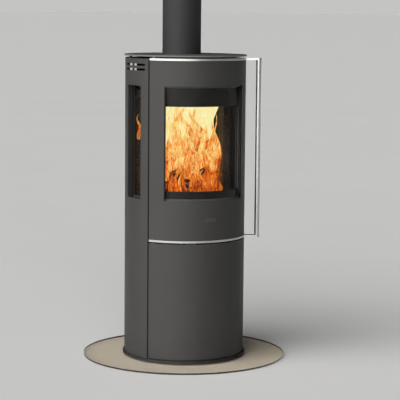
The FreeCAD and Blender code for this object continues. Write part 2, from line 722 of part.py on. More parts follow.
def air_slider(hand):
    """Air slider with its window and turned knob; at rest it closes its port in the air box."""
    port = -AIR_PORT_X
    back = AIR_BOX_FRONT - 0.5
    window_high = port - AIR_PORT_HALF - SLIDER_LAP
    window_low = window_high - 2 * AIR_PORT_HALF
    plate = box((window_low - SLIDER_RIM, port + AIR_PORT_HALF + SLIDER_RIM), (back - SLIDER_THICK, back),
                (SLIDER_Z - SLIDER_HALF_HEIGHT, SLIDER_Z + SLIDER_HALF_HEIGHT))
    window = box((window_low, window_high), (-200.0, -100.0),
                 (SLIDER_Z - AIR_PORT_HALF_HEIGHT, SLIDER_Z + AIR_PORT_HALF_HEIGHT))
    toward = FreeCAD.Vector(0, -1, 0)
    grip = FreeCAD.Vector(port + KNOB_OFFSET, back, SLIDER_Z - KNOB_DROP)
    stem = Part.makeCylinder(STEM_R, STEM_LENGTH, grip + toward, toward)
    knob = Part.makeCylinder(KNOB_R, KNOB_LENGTH, grip + toward * STEM_LENGTH, toward)
    rims = [e for e in knob.Edges if isinstance(e.Curve, Part.Circle)]
    slider = joined([plate.cut(window), stem, knob.makeFillet(1.5, rims)])
    return slider if hand < 0 else mirrored(slider)


# ---------------------------------------------------------------- wood compartment


LINER_WALL = 1.5
LINER_ROOF = 3.0
LINER_CORNERS = ((192.0, -98.0), (192.0, 60.0), (130.0, 108.0))
LINER_TONGUE_X = 128.0
LINER_TONGUE_Y = (-158.0, -97.0)


def storage_liner():
    """Folded sheet that makes the sides, back and roof of the wood compartment."""
    under_roof = AIR_BOX_LOW - LINER_ROOF
    outer = list(LINER_CORNERS) + [(-x, y) for x, y in reversed(LINER_CORNERS)]
    inner = []
    for x, y in outer:
        inner_y = y - 1.0 if y < 0 else y - LINER_WALL
        inner.append((x - math.copysign(LINER_WALL, x), inner_y))
    walls = prism(outer, BASE_TOP, under_roof).cut(prism(inner, 0.0, HUGE))
    roof = prism(outer, under_roof, AIR_BOX_LOW)
    front = box((-LINER_TONGUE_X, LINER_TONGUE_X), LINER_TONGUE_Y, (under_roof, AIR_BOX_LOW))
    return joined([walls, roof, front])


# ---------------------------------------------------------------- hinges and catches


BRACKET_TIP_R = 8.0
BRACKET_INNER = 188.0
TOP_FOOT = (180.0, 207.0)
MID_FOOT = (182.0, 207.0)
TOP_BRACKET_LOW = FIRE_DOOR_HIGH + 0.6
PIN_SEAT = 6.0
PIN_REACH = 7.0
PIN_HEAD_R = 6.0
PIN_HEAD_THICK = 1.6


def bracket_arm(low, high, outer_reach):
    """Return a flat arm from the stove's inside out past the hinge axis, with a round end."""
    arm = box((BRACKET_INNER, HINGE_RADIUS), (-BRACKET_HALF_WIDTH, BRACKET_HALF_WIDTH), (low, high))
    arm.rotate(ORIGIN, UP, HINGE_ANGLE - 90.0)
    tip = at(HINGE_RADIUS, HINGE_ANGLE)
    reach = rod(outer_reach, low, high, tip.x, tip.y)
    arm = joined([arm, reach])
    return arm.cut(rod(HINGE_PIN_R, 0.0, HUGE, tip.x, tip.y))


def hinge_brackets():
    """Top bracket over the fire door, and the middle one between the two doors."""
    top_arm = bracket_arm(TOP_BRACKET_LOW, TOP_BRACKET_LOW + BRACKET_THICK, BRACKET_TIP_R)
    top_foot = box(TOP_FOOT, (-BRACKET_HALF_WIDTH, BRACKET_HALF_WIDTH),
                   (RING_TOP, TOP_BRACKET_LOW + BRACKET_THICK))
    top_foot.rotate(ORIGIN, UP, HINGE_ANGLE - 90.0)
    mid_arm = bracket_arm(MID_BRACKET_LOW, MID_BRACKET_LOW + BRACKET_THICK, BRACKET_TIP_R)
    mid_foot = box(MID_FOOT, (-BRACKET_HALF_WIDTH, BRACKET_HALF_WIDTH), (MID_BRACKET_LOW, FIREBOX_LOW))
    mid_foot.rotate(ORIGIN, UP, HINGE_ANGLE - 90.0)
    return Part.makeCompound([joined([top_arm, top_foot]), joined([mid_arm, mid_foot])])


def hinge_pins():
    """Top, middle and bottom hinge pins, pressed into their brackets and the plinth."""
    spot = at(HINGE_RADIUS, HINGE_ANGLE)
    bracket_top = TOP_BRACKET_LOW + BRACKET_THICK
    top = joined([
        rod(HINGE_PIN_R, FIRE_DOOR_HIGH - TRIM_THICK + 1.0, bracket_top, spot.x, spot.y),
        rod(PIN_HEAD_R, bracket_top, bracket_top + PIN_HEAD_THICK, spot.x, spot.y),
    ])
    middle = rod(HINGE_PIN_R, STORAGE_DOOR_HIGH - PIN_REACH, FIRE_DOOR_LOW + PIN_REACH, spot.x, spot.y)
    bottom = rod(HINGE_PIN_R, PLINTH_HEIGHT - PIN_SEAT, STORAGE_DOOR_LOW + PIN_SEAT, spot.x, spot.y)
    return Part.makeCompound([top, middle, bottom])


def hinge_bore(low, high):
    """Return the running hole that a door piece has for its hinge pin."""
    spot = at(HINGE_RADIUS, HINGE_ANGLE)
    return rod(HINGE_PIN_R + PIN_PLAY, low, high, spot.x, spot.y)


CATCH_LOW = 225.0
CATCH_HIGH = 275.0
CATCH_FACE = (196.0, 216.0)
CATCH_LINK = ((161.0, -112.0), (189.0, -98.0), (189.0, -102.0), (163.5, -115.5))
CATCH_TAB_X = (187.5, 190.5)
CATCH_TAB_Y = (-102.0, -80.0)
MAGNET_SPAN = (206.0, 219.8)
MAGNET_HEIGHT = 18.0
MAGNET_WIDTH = 8.0
MAGNET_LOWS = (228.0, 254.0)


def magnet_catch():
    """Two magnets on a folded bracket, behind the free edge of the storage door."""
    face = radial_plate(*CATCH_FACE, CATCH_LOW, CATCH_HIGH, CATCH_ANGLE, SHEET)
    link = prism(list(CATCH_LINK), CATCH_LOW, CATCH_HIGH)
    tab = box(CATCH_TAB_X, CATCH_TAB_Y, (CATCH_LOW, CATCH_HIGH))
    magnets = [radial_plate(*MAGNET_SPAN, z, z + MAGNET_HEIGHT, CATCH_ANGLE, -MAGNET_WIDTH)
               for z in MAGNET_LOWS]
    return Part.makeCompound([joined([face, link, tab])] + magnets)


def roller_spot():
    """Return the roller's axis, just clear of the tongue, which is curved about the door hinge."""
    hinge = at(HINGE_RADIUS, HINGE_ANGLE)
    reach = TONGUE_SWING + ROLLER_CLEAR + ROLLER_R
    across = ROLLER_Y - hinge.y
    return FreeCAD.Vector(hinge.x + math.sqrt(reach ** 2 - across ** 2), ROLLER_Y, 0)


LATCH_FOOT_R = 13.0
LATCH_FOOT_THICK = 3.0
LATCH_COLLAR_R = 6.0
LATCH_HEAD_R = 5.0
LATCH_ARM_HEIGHT = 16.0
LATCH_LEAF = 2.5
LATCH_EYE_R = 7.0
LATCH_TIP_R = 5.0
SPRING_TURNS = 6
SPRING_R = 5.5
SPRING_WIRE_R = 1.0
SPRING_PITCH = 2.1
SPRING_RISE = 5.0


def latch_bracket():
    """Pivot post of the latch arm, riveted to the top of the firebox."""
    foot = rod(LATCH_FOOT_R, FIREBOX_HIGH, FIREBOX_HIGH + LATCH_FOOT_THICK, ARM_PIVOT_X, ARM_PIVOT_Y)
    post = rod(ARM_PIVOT_R, FIREBOX_HIGH, LATCH_Z + 22.0, ARM_PIVOT_X, ARM_PIVOT_Y)
    collar = rod(LATCH_COLLAR_R, LATCH_Z - 4.0, LATCH_Z - 0.3, ARM_PIVOT_X, ARM_PIVOT_Y)
    above_arm = LATCH_Z + LATCH_ARM_HEIGHT + 0.4
    head = rod(LATCH_HEAD_R, above_arm, above_arm + 2.1, ARM_PIVOT_X, ARM_PIVOT_Y)
    return joined([foot, post, collar, head])


def latch_spring():
    """Torsion spring round the latch pivot, as its close-wound coil."""
    turns = []
    for index in range(SPRING_TURNS):
        middle = FreeCAD.Vector(ARM_PIVOT_X, ARM_PIVOT_Y, FIREBOX_HIGH + SPRING_RISE + SPRING_PITCH * index)
        turns.append(Part.makeTorus(SPRING_R, SPRING_WIRE_R, middle, UP))
    return Part.makeCompound(turns)


def latch_arm():
    """Forked arm that holds the latch roller and swings on the pivot post."""
    low = LATCH_Z
    high = LATCH_Z + LATCH_ARM_HEIGHT
    pivot = FreeCAD.Vector(ARM_PIVOT_X, ARM_PIVOT_Y, 0)
    end = roller_spot()
    along = (end - pivot).normalize()
    across = FreeCAD.Vector(-along.y, along.x, 0)
    sides = [pivot + across * LATCH_EYE_R, end + across * LATCH_TIP_R,
             end - across * LATCH_TIP_R, pivot - across * LATCH_EYE_R]
    pieces = []
    for z_low, z_high in ((low, low + LATCH_LEAF), (high - LATCH_LEAF, high)):
        pieces.append(rod(LATCH_EYE_R, z_low, z_high, pivot.x, pivot.y))
        pieces.append(rod(LATCH_TIP_R, z_low, z_high, end.x, end.y))
        pieces.append(prism([(c.x, c.y) for c in sides], z_low, z_high))
    pieces.append(rod(LATCH_EYE_R, low, high, pivot.x, pivot.y))
    pieces.append(rod(ROLLER_AXLE_R, low, high, end.x, end.y))
    return joined(pieces).cut(rod(ARM_PIVOT_R + PIN_PLAY, 0.0, HUGE, pivot.x, pivot.y))


def latch_roller():
    """Steel roller that runs on the door's latch tongue."""
    spot = roller_spot()
    return tube(ROLLER_AXLE_R + PIN_PLAY, ROLLER_R, LATCH_Z + 3.0, LATCH_Z + 13.0, spot.x, spot.y)


# ---------------------------------------------------------------- fire door


def folded_skin(low, high):
    """Return a curved door skin with folded side edges."""
    skin = sector(SHELL_INNER, BODY_RADIUS, low, high, -DOOR_HALF, DOOR_HALF)
    fold = radial_plate(DOOR_FLANGE_INNER, SHELL_INNER + 1.0, low, high, DOOR_HALF, -SHEET)
    return joined([skin, fold, mirrored(fold)])


def fire_door_skin():
    """Curved steel front of the fire door, with its window."""
    window = sector(SHELL_INNER - 5, HUGE, WINDOW_LOW, WINDOW_HIGH, -WINDOW_HALF, WINDOW_HALF)
    return folded_skin(SKIN_LOW, SKIN_HIGH).cut(window)


def trim(low):
    """Stainless strip along a door edge, drawn out at its free end to carry the handle."""
    high = low + TRIM_THICK
    strip = sector(TRIM_INNER, TRIM_OUTER, low, high, -DOOR_HALF, DOOR_HALF)
    tab_half = 11.0
    tab = box((TRIM_INNER + 4.0, HANDLE_RADIUS), (-tab_half, tab_half), (low, high))
    tab.rotate(ORIGIN, UP, HANDLE_ANGLE - 90.0)
    tab = tab.cut(sector(WITHIN, TRIM_OUTER, low - 1, high + 1, DOOR_HALF, DOOR_HALF + 20.0))
    tip = at(HANDLE_RADIUS, HANDLE_ANGLE)
    end = rod(tab_half, low, high, tip.x, tip.y)
    strip = joined([strip, tab, end])
    hole = rod(HANDLE_SCREW_R, low - 1, high + 1, tip.x, tip.y)
    return strip.cut(hole).cut(hinge_bore(low - 1, high + 1))


def handle_bar():
    """Full-height round stainless bar between the two strips."""
    spot = at(HANDLE_RADIUS, HANDLE_ANGLE)
    bar = rod(HANDLE_BAR_R, SKIN_LOW, SKIN_HIGH, spot.x, spot.y)
    low = rod(HANDLE_SCREW_R, SKIN_LOW - 1, SKIN_LOW + HANDLE_SCREW_DEPTH, spot.x, spot.y)
    high = rod(HANDLE_SCREW_R, SKIN_HIGH - HANDLE_SCREW_DEPTH, SKIN_HIGH + 1, spot.x, spot.y)
    return bar.cut(low).cut(high)


SOCKET_R = 2.3
SOCKET_DEPTH = 4.0


def handle_screws():
    """Socket screws that fix the bar, flush with the strips."""
    spot = at(HANDLE_RADIUS, HANDLE_ANGLE)
    turns = [math.radians(60 * k) for k in range(6)]
    corners = [(spot.x + SOCKET_R * math.cos(turn), spot.y + SOCKET_R * math.sin(turn)) for turn in turns]
    top = rod(HANDLE_SCREW_R, SKIN_HIGH - HANDLE_SCREW_DEPTH, FIRE_DOOR_HIGH, spot.x, spot.y)
    top = top.cut(prism(corners, FIRE_DOOR_HIGH - SOCKET_DEPTH, HUGE))
    bottom = rod(HANDLE_SCREW_R, FIRE_DOOR_LOW, SKIN_LOW + HANDLE_SCREW_DEPTH, spot.x, spot.y)
    bottom = bottom.cut(prism(corners, 0.0, FIRE_DOOR_LOW + SOCKET_DEPTH))
    return Part.makeCompound([top, bottom])


def door_inner_frame():
    """Pressed inner frame of the fire door, a tray that closes the space behind the skin."""
    face = sector(FRAME_INNER, FRAME_OUTER, FRAME_LOW, FRAME_HIGH, -FRAME_HALF, FRAME_HALF)
    opening = sector(WITHIN, HUGE, FIRE_OPEN_LOW, FIRE_OPEN_HIGH, -FIRE_OPEN_HALF + 1, FIRE_OPEN_HALF - 1)
    face = face.cut(opening)
    wall = radial_plate(FRAME_INNER, SHELL_INNER - 0.2, FRAME_LOW, FRAME_HIGH, FRAME_HALF, -2.0)
    bottom = sector(FRAME_OUTER - 1, SHELL_INNER, FRAME_LOW, FRAME_LOW + 2.0, -FRAME_HALF, FRAME_HALF)
    top = sector(FRAME_OUTER - 1, SHELL_INNER, FRAME_HIGH - 2.0, FRAME_HIGH, -FRAME_HALF, FRAME_HALF)
    return joined([face, wall, mirrored(wall), bottom, top])


def door_glass():
    """Curved ceramic glass, a little larger than the window."""
    return sector(GLASS_INNER, GLASS_OUTER, WINDOW_LOW - GLASS_LAP, WINDOW_HIGH + GLASS_LAP,
                  -GLASS_HALF, GLASS_HALF)


def glass_gasket():
    """Thin rope gasket between the glass and the inner frame."""
    low = WINDOW_LOW - GLASS_LAP + 2.0
    high = WINDOW_HIGH + GLASS_LAP - 2.0
    outer = sector(FRAME_OUTER, GLASS_INNER, low, high, -GLASS_HALF + 0.5, GLASS_HALF - 0.5)
    inner = sector(WITHIN, HUGE, FIRE_OPEN_LOW, FIRE_OPEN_HIGH, -FIRE_OPEN_HALF + 1, FIRE_OPEN_HALF - 1)
    return outer.cut(inner)


RETAINER_STRIP_HALF = 42.0
RETAINER_STRIP_INSET = 30.0


def glass_retainers():
    """Folded strips that clamp the glass to the inner frame on all four edges."""
    lip = 2.0
    glass_low = WINDOW_LOW - GLASS_LAP
    glass_high = WINDOW_HIGH + GLASS_LAP
    strips = []
    face = GLASS_OUTER + lip
    for edge, out in ((glass_high, 1.0), (glass_low, -1.0)):
        web = sorted((edge + 1.0 * out, edge + 3.0 * out))
        cover = sorted((edge - 8.0 * out, edge + 3.0 * out))
        strips.append(joined([
            sector(FRAME_OUTER, face, web[0], web[1], -RETAINER_STRIP_HALF, RETAINER_STRIP_HALF),
            sector(GLASS_OUTER, face, cover[0], cover[1], -RETAINER_STRIP_HALF, RETAINER_STRIP_HALF),
        ]))
    low = glass_low + RETAINER_STRIP_INSET
    high = glass_high - RETAINER_STRIP_INSET
    side = joined([
        sector(FRAME_OUTER, face, low, high, GLASS_HALF + 0.3, GLASS_HALF + 0.8),
        sector(GLASS_OUTER, face, low, high, WINDOW_HALF + 1.8, GLASS_HALF + 0.8),
    ])
    return Part.makeCompound(strips + [side, mirrored(side)])


def door_seal():
    """Rope seal in the inner frame, a loop that closes on the firebox face."""
    inner = FACE_OUTER + SEAL_BITE
    width_angle = math.degrees(SEAL_WIDTH / FRAME_INNER)
    outer = sector(inner, FRAME_INNER, FRAME_LOW + 2, FRAME_HIGH - 2, -SEAL_HALF, SEAL_HALF)
    window = sector(WITHIN, HUGE, FRAME_LOW + 2 + SEAL_WIDTH, FRAME_HIGH - 2 - SEAL_WIDTH,
                    -SEAL_HALF + width_angle, SEAL_HALF - width_angle)
    return outer.cut(window)


TONGUE_FOOT_X = (126.0, 154.0)
TONGUE_FOOT_THICK = 3.0


def latch_tongue():
    """Steel tongue inside the door, curved about the hinge, with a detent for the latch roller."""
    hinge = at(HINGE_RADIUS, HINGE_ANGLE)
    low = LATCH_Z + 1.0
    high = low + TONGUE_HEIGHT
    band = tube(TONGUE_SWING - TONGUE_THICK, TONGUE_SWING, low, high, hinge.x, hinge.y)
    blade = band.common(box((0.0, HUGE), (-200.0, TONGUE_BACK), (low, high)))
    blade = blade.common(rod(SHELL_INNER, 0.0, HUGE))
    foot = tube(SHELL_INNER - TONGUE_FOOT_THICK, SHELL_INNER, low, high)
    foot = foot.common(box(TONGUE_FOOT_X, (-220.0, -130.0), (low, high)))
    toward = roller_spot() - hinge
    seat = hinge + toward * ((toward.Length - DETENT) / toward.Length)
    notch = rod(ROLLER_R + ROLLER_CLEAR, 0.0, HUGE, seat.x, seat.y)
    return joined([blade, foot]).cut(notch)


BADGE_HALF_LENGTH = 25.0
BADGE_HALF_HEIGHT = 7.0
BADGE_Z = 563.0
BADGE_THICK = 0.8


def door_badge():
    """Small blank plate with round ends, on the middle of the door under the window."""
    straight = BADGE_HALF_LENGTH - BADGE_HALF_HEIGHT
    forward = FreeCAD.Vector(0, -1, 0)
    low = BADGE_Z - BADGE_HALF_HEIGHT
    high = BADGE_Z + BADGE_HALF_HEIGHT
    pieces = [box((-straight, straight), (-HUGE, 0.0), (low, high))]
    for x in (-straight, straight):
        pieces.append(Part.makeCylinder(BADGE_HALF_HEIGHT, HUGE, FreeCAD.Vector(x, 0, BADGE_Z), forward))
    return joined(pieces).common(tube(BODY_RADIUS, BODY_RADIUS + BADGE_THICK, 0.0, HUGE))


# ---------------------------------------------------------------- storage door


def storage_door_skin():
    """Curved steel front of the wood compartment's door."""
    return folded_skin(STORAGE_DOOR_LOW, STORAGE_DOOR_HIGH)


def storage_hinge_plates():
    """Stiffening plates along the top and bottom of the storage door, with the hinge holes."""
    plates = []
    inside = DOOR_HALF - 0.9
    for low, high in ((STORAGE_DOOR_LOW + 1.0, STORAGE_DOOR_LOW + 7.0),
                      (STORAGE_DOOR_HIGH - 8.0, STORAGE_DOOR_HIGH - 2.0)):
        plate = sector(DOOR_FLANGE_INNER, SHELL_INNER, low, high, -inside, inside)
        plates.append(plate.cut(hinge_bore(low - 1, high + 1)))
    return Part.makeCompound(plates)


def storage_catch_plate():
    """Folded plate on the storage door that the magnets hold."""
    pad = radial_plate(221.0, 223.0, CATCH_LOW - 3.0, CATCH_HIGH + 3.0, CATCH_ANGLE, -10.0)
    stem = radial_plate(222.0, SHELL_INNER - 0.3, CATCH_LOW + 15.0, CATCH_HIGH - 15.0, CATCH_ANGLE, -2.0)
    return joined([pad, stem])


PIECES = {
    "hearth_plate": hearth_plate,
    "plinth_ring": plinth_ring,
    "base_panel": base_panel,
    "side_panel_right": lambda: side_panel(1),
    "side_panel_left": lambda: side_panel(-1),
    "rear_panel": rear_panel,
    "rear_screws": rear_screws,
    "top_ring": top_ring,
    "top_spacers": top_spacers,
    "top_plate": top_plate,
    "firebox_front_frame": firebox_front_frame,
    "firebox_side_right": lambda: firebox_side(1),
    "firebox_side_left": lambda: firebox_side(-1),
    "firebox_rear_wall": firebox_rear_wall,
    "firebox_floor": firebox_floor,
    "ash_chamber_floor": ash_chamber_floor,
    "firebox_top": firebox_top,
    "lining_rear": lining_rear,
    "lining_sides": lining_sides,
    "lining_floor": lining_floor,
    "grate": grate,
    "log_retainer": log_retainer,
    "baffle_plate": baffle_plate,
    "ash_pan": ash_pan,
    "side_glass_right": lambda: side_glass(1),
    "side_glass_left": lambda: side_glass(-1),
    "side_glass_seals": side_glass_seals,
    "side_glass_clips": side_glass_clips,
    "side_reveals": side_reveals,
    "flue_collar": flue_collar,
    "flue_pipe": flue_pipe,
    "air_box": air_box,
    "air_spigot": air_spigot,
    "slider_guides": slider_guides,
    "primary_air_slider": lambda: air_slider(-1),
    "secondary_air_slider": lambda: air_slider(1),
    "storage_liner": storage_liner,
    "hinge_brackets": hinge_brackets,
    "hinge_pins": hinge_pins,
    "magnet_catch": magnet_catch,
    "latch_bracket": latch_bracket,
    "latch_spring": latch_spring,
    "latch_arm": latch_arm,
    "latch_roller": latch_roller,
    "fire_door_skin": fire_door_skin,
    "door_top_trim": lambda: trim(SKIN_HIGH),
    "door_bottom_trim": lambda: trim(FIRE_DOOR_LOW),
    "handle_bar": handle_bar,
    "handle_screws": handle_screws,
    "door_inner_frame": door_inner_frame,
    "door_glass": door_glass,
    "glass_gasket": glass_gasket,
    "glass_retainers": glass_retainers,
    "door_seal": door_seal,
    "latch_tongue": latch_tongue,
    "door_badge": door_badge,
    "storage_door_skin": storage_door_skin,
    "storage_hinge_plates": storage_hinge_plates,
    "storage_catch_plate": storage_catch_plate,
}

os.makedirs("parts", exist_ok=True)
for piece_name, make_piece in PIECES.items():
    export(piece_name, make_piece())
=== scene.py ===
"""Looks of a round wood burning stove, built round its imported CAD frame.

Metres, +Z up. The origin is on the floor under the middle of the hearth plate, the front
faces -Y, and +X is on the right of someone facing the stove. Angles go round the stove's
axis from 0 at the front, positive towards +X. The CAD nodes keep their shapes and get node
materials. The fire, the braided seal, the spring, the screws and the printed bands of the
glass are pieces of this file.
"""

import math
import random

import bpy
from mathutils import Matrix, Vector, noise


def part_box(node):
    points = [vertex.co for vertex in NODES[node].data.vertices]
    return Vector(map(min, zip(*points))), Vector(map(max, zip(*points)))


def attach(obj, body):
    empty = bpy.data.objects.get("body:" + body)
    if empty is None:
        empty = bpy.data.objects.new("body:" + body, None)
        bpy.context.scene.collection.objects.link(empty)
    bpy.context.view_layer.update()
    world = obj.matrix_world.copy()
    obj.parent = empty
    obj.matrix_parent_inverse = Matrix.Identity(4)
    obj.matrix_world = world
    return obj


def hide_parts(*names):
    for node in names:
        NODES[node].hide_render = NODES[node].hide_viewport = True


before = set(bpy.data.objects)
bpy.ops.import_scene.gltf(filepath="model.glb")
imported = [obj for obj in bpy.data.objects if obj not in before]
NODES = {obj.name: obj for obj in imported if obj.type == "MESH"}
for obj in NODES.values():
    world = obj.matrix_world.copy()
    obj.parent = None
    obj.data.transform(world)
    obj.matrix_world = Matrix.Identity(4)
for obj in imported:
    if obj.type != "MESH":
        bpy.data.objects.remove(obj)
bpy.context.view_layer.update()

# Camera: a person's eye, well back and to the left of the stove's front
CAMERA_AT = Vector((-2.685, -5.811, 1.378))
CAMERA_HEADING = math.radians(25.35)
CAMERA_TILT = math.radians(6.71)
CAMERA_ROLL = math.radians(0.51)
CAMERA_LENS = 144.5
SENSOR_WIDTH = 36.0

# Studio
FLOOR_RADII = (0.0, 0.6, 1.5, 4.0, 10.0, 30.0, 100.0, 300.0, 1200.0)
FLOOR_SIDES = 48
FLOOR_DROP = 0.0006
FLOOR_TONE = (0.86, 0.855, 0.845)
# What shows past the floor's far rim, as bright as the floor there
SEEN_SKY = (0.555, 0.552, 0.543)
BRIGHT_SIDE = (-0.88, -0.47, 0.0)
# Strength of the light against the cosine of its angle to the bright side
SIDE_LIGHT = ((-1.0, 0.0), (-0.35, 0.0), (0.40, 0.0), (0.78, 5.3), (1.0, 6.8))
# Light from above, which starts and is full at these sines of the height angle
OVERHEAD_LIGHT = 0.04
OVERHEAD_FROM = 0.55
OVERHEAD_FULL = 0.90

# Firebox, read from the frame
GRATE_LOW, GRATE_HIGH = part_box("grate")
FLOOR_BOARD_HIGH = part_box("lining_floor")[1].z
BAFFLE_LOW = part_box("baffle_plate")[0].z
REAR_BOARD_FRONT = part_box("lining_rear")[0].y


# ---------------------------------------------------------------- meshes


def new_object(name, vertices, faces, material, smooth=True):
    """Make a mesh object from plain lists and give it one material."""
    mesh = bpy.data.meshes.new(name)
    mesh.from_pydata([tuple(v) for v in vertices], [], faces)
    mesh.validate()
    mesh.polygons.foreach_set("use_smooth", [smooth] * len(mesh.polygons))
    mesh.materials.append(material)
    mesh.update()
    piece = bpy.data.objects.new(name, mesh)
    bpy.context.scene.collection.objects.link(piece)
    return piece


def around(radius, angle, z):
    """Point at a radius and an angle in radians from the stove's axis."""
    return Vector((radius * math.sin(angle), -radius * math.cos(angle), z))


def loft(rings, closed_path=False):
    """Vertices and faces of a skin over rings of equally many points, with its ends shut."""
    count = len(rings[0])
    vertices = [point for ring in rings for point in ring]
    faces = []
    last = len(rings) if closed_path else len(rings) - 1
    for i in range(last):
        here = i * count
        there = ((i + 1) % len(rings)) * count
        for j in range(count):
            k = (j + 1) % count
            faces.append((here + j, here + k, there + k, there + j))
    if not closed_path:
        faces.append(tuple(reversed(range(count))))
        faces.append(tuple(range(len(vertices) - count, len(vertices))))
    return vertices, faces


def shut_sheet(front, back, columns, rows):
    """Skin of a thin sheet from two grids of points, row by row, with its rim closed."""
    vertices = front + back
    count = len(front)
    wide = columns + 1
    faces = []
    for j in range(rows):
        for i in range(columns):
            a = j * wide + i
            faces.append((a, a + 1, a + wide + 1, a + wide))
            faces.append((count + a, count + a + wide, count + a + wide + 1, count + a + 1))
    border = list(range(columns)) + [j * wide + columns for j in range(rows)]
    border += [rows * wide + i for i in range(columns, 0, -1)] + [j * wide for j in range(rows, 0, -1)]
    for a, b in zip(border, border[1:] + border[:1]):
        faces.append((a, count + a, count + b, b))
    return vertices, faces


def merged(parts):
    """One list of vertices and one of faces from several (vertices, faces) pairs."""
    vertices, faces = [], []
    for more_vertices, more_faces in parts:
        start = len(vertices)
        vertices.extend(more_vertices)
        faces.extend(tuple(start + i for i in face) for face in more_faces)
    return vertices, faces


# ---------------------------------------------------------------- node materials


class Recipe:
    """A node material being put together."""

    def __init__(self, name):
        self.material = bpy.data.materials.new(name)
        self.material.use_nodes = True
        self.tree = self.material.node_tree
        self.surface = self.tree.nodes["Principled BSDF"]
        self.output = self.tree.nodes["Material Output"]
        self.coordinates = self.tree.nodes.new("ShaderNodeTexCoord")
        self.place = self.coordinates.outputs["Object"]

    def link(self, source, target):
        self.tree.links.new(source, target)

    def fixed(self, **values):
        """Set plain values on the Principled node, such as metallic=1."""
        for key, value in values.items():
            name = key.replace("_", " ").title().replace("Ior", "IOR")
            self.surface.inputs[name].default_value = value

    def stretched(self, x, y, z):
        """Coordinates scaled by a factor along each axis."""
        mapping = self.tree.nodes.new("ShaderNodeMapping")
        mapping.inputs["Scale"].default_value = (x, y, z)
        self.link(self.place, mapping.inputs["Vector"])
        return mapping.outputs["Vector"]

    def noise(self, scale, detail=3.0, roughness=0.5, distortion=0.0, place=None):
        node = self.tree.nodes.new("ShaderNodeTexNoise")
        node.inputs["Scale"].default_value = scale
        node.inputs["Detail"].default_value = detail
        node.inputs["Roughness"].default_value = roughness
        node.inputs["Distortion"].default_value = distortion
        self.link(place or self.place, node.inputs["Vector"])
        return node.outputs["Fac"]

    def cells(self, scale, feature="F1", output="Distance", place=None):
        node = self.tree.nodes.new("ShaderNodeTexVoronoi")
        node.feature = feature
        node.inputs["Scale"].default_value = scale
        self.link(place or self.place, node.inputs["Vector"])
        return node.outputs[output]

    def height(self, low, high):
        """0 at the low height and 1 at the high one."""
        split = self.tree.nodes.new("ShaderNodeSeparateXYZ")
        self.link(self.place, split.inputs["Vector"])
        return self.spread(split.outputs["Z"], 0.0, 1.0, low, high)

    def upright_faces(self, level_value, upright_value):
        """One value on level faces and another on upright ones, such as a plate's edge."""
        geometry = self.tree.nodes.new("ShaderNodeNewGeometry")
        split = self.tree.nodes.new("ShaderNodeSeparateXYZ")
        self.link(geometry.outputs["Normal"], split.inputs["Vector"])
        size = self.tree.nodes.new("ShaderNodeMath")
        size.operation = "ABSOLUTE"
        self.link(split.outputs["Z"], size.inputs[0])
        return self.spread(size.outputs["Value"], upright_value, level_value, 0.2, 0.8)

    def spread(self, value, low, high, start=0.0, end=1.0):
        """Map a value from start..end to low..high."""
        node = self.tree.nodes.new("ShaderNodeMapRange")
        node.inputs["From Min"].default_value = start
        node.inputs["From Max"].default_value = end
        node.inputs["To Min"].default_value = low
        node.inputs["To Max"].default_value = high
        self.link(value, node.inputs["Value"])
        return node.outputs["Result"]

    def sum(self, first, second, share=0.5):
        """Blend of two values, with this share of the second."""
        node = self.tree.nodes.new("ShaderNodeMix")
        node.inputs["Factor"].default_value = share
        self.link(first, node.inputs["A"])
        self.link(second, node.inputs["B"])
        return node.outputs["Result"]

    def most(self, first, second):
        """The greater of two values."""
        node = self.tree.nodes.new("ShaderNodeMath")
        node.operation = "MAXIMUM"
        self.link(first, node.inputs[0])
        self.link(second, node.inputs[1])
        return node.outputs["Value"]

    def tinted(self, colour, other, share):
        """A colour that turns into a plain other one where the share is 1."""
        node = self.tree.nodes.new("ShaderNodeMix")
        node.data_type = "RGBA"
        self.link(share, node.inputs["Factor"])
        self.link(colour, node.inputs[6])
        node.inputs[7].default_value = (*other, 1.0)
        return node.outputs[2]

    def ramp(self, value, *stops):
        """Colour ramp from (position, colour) stops; a number is a grey."""
        node = self.tree.nodes.new("ShaderNodeValToRGB")
        elements = node.color_ramp.elements
        while len(elements) < len(stops):
            elements.new(0.5)
        for element, (position, colour) in zip(elements, stops):
            element.position = position
            grey = isinstance(colour, (int, float))
            element.color = (colour, colour, colour, 1.0) if grey else (*colour, 1.0)
        self.link(value, node.inputs["Fac"])
        return node.outputs["Color"]

    def shades(self, value, colour, darkest, lightest):
        """A colour that runs from a darker to a lighter tone of itself."""
        dark = tuple(channel * darkest for channel in colour)
        light = tuple(min(1.0, channel * lightest) for channel in colour)
        return self.ramp(value, (0.3, dark), (0.7, light))

    def bumps(self, *layers):
        """Surface relief from (height, depth in metres) pairs."""
        normal = None
        for height, depth in layers:
            node = self.tree.nodes.new("ShaderNodeBump")
            node.inputs["Strength"].default_value = 1.0
            node.inputs["Distance"].default_value = depth
            self.link(height, node.inputs["Height"])
            if normal is not None:
                self.link(normal, node.inputs["Normal"])
            normal = node.outputs["Normal"]
        self.link(normal, self.surface.inputs["Normal"])

    def colour(self, source):
        self.link(source, self.surface.inputs["Base Color"])

    def roughness(self, source):
        self.link(source, self.surface.inputs["Roughness"])


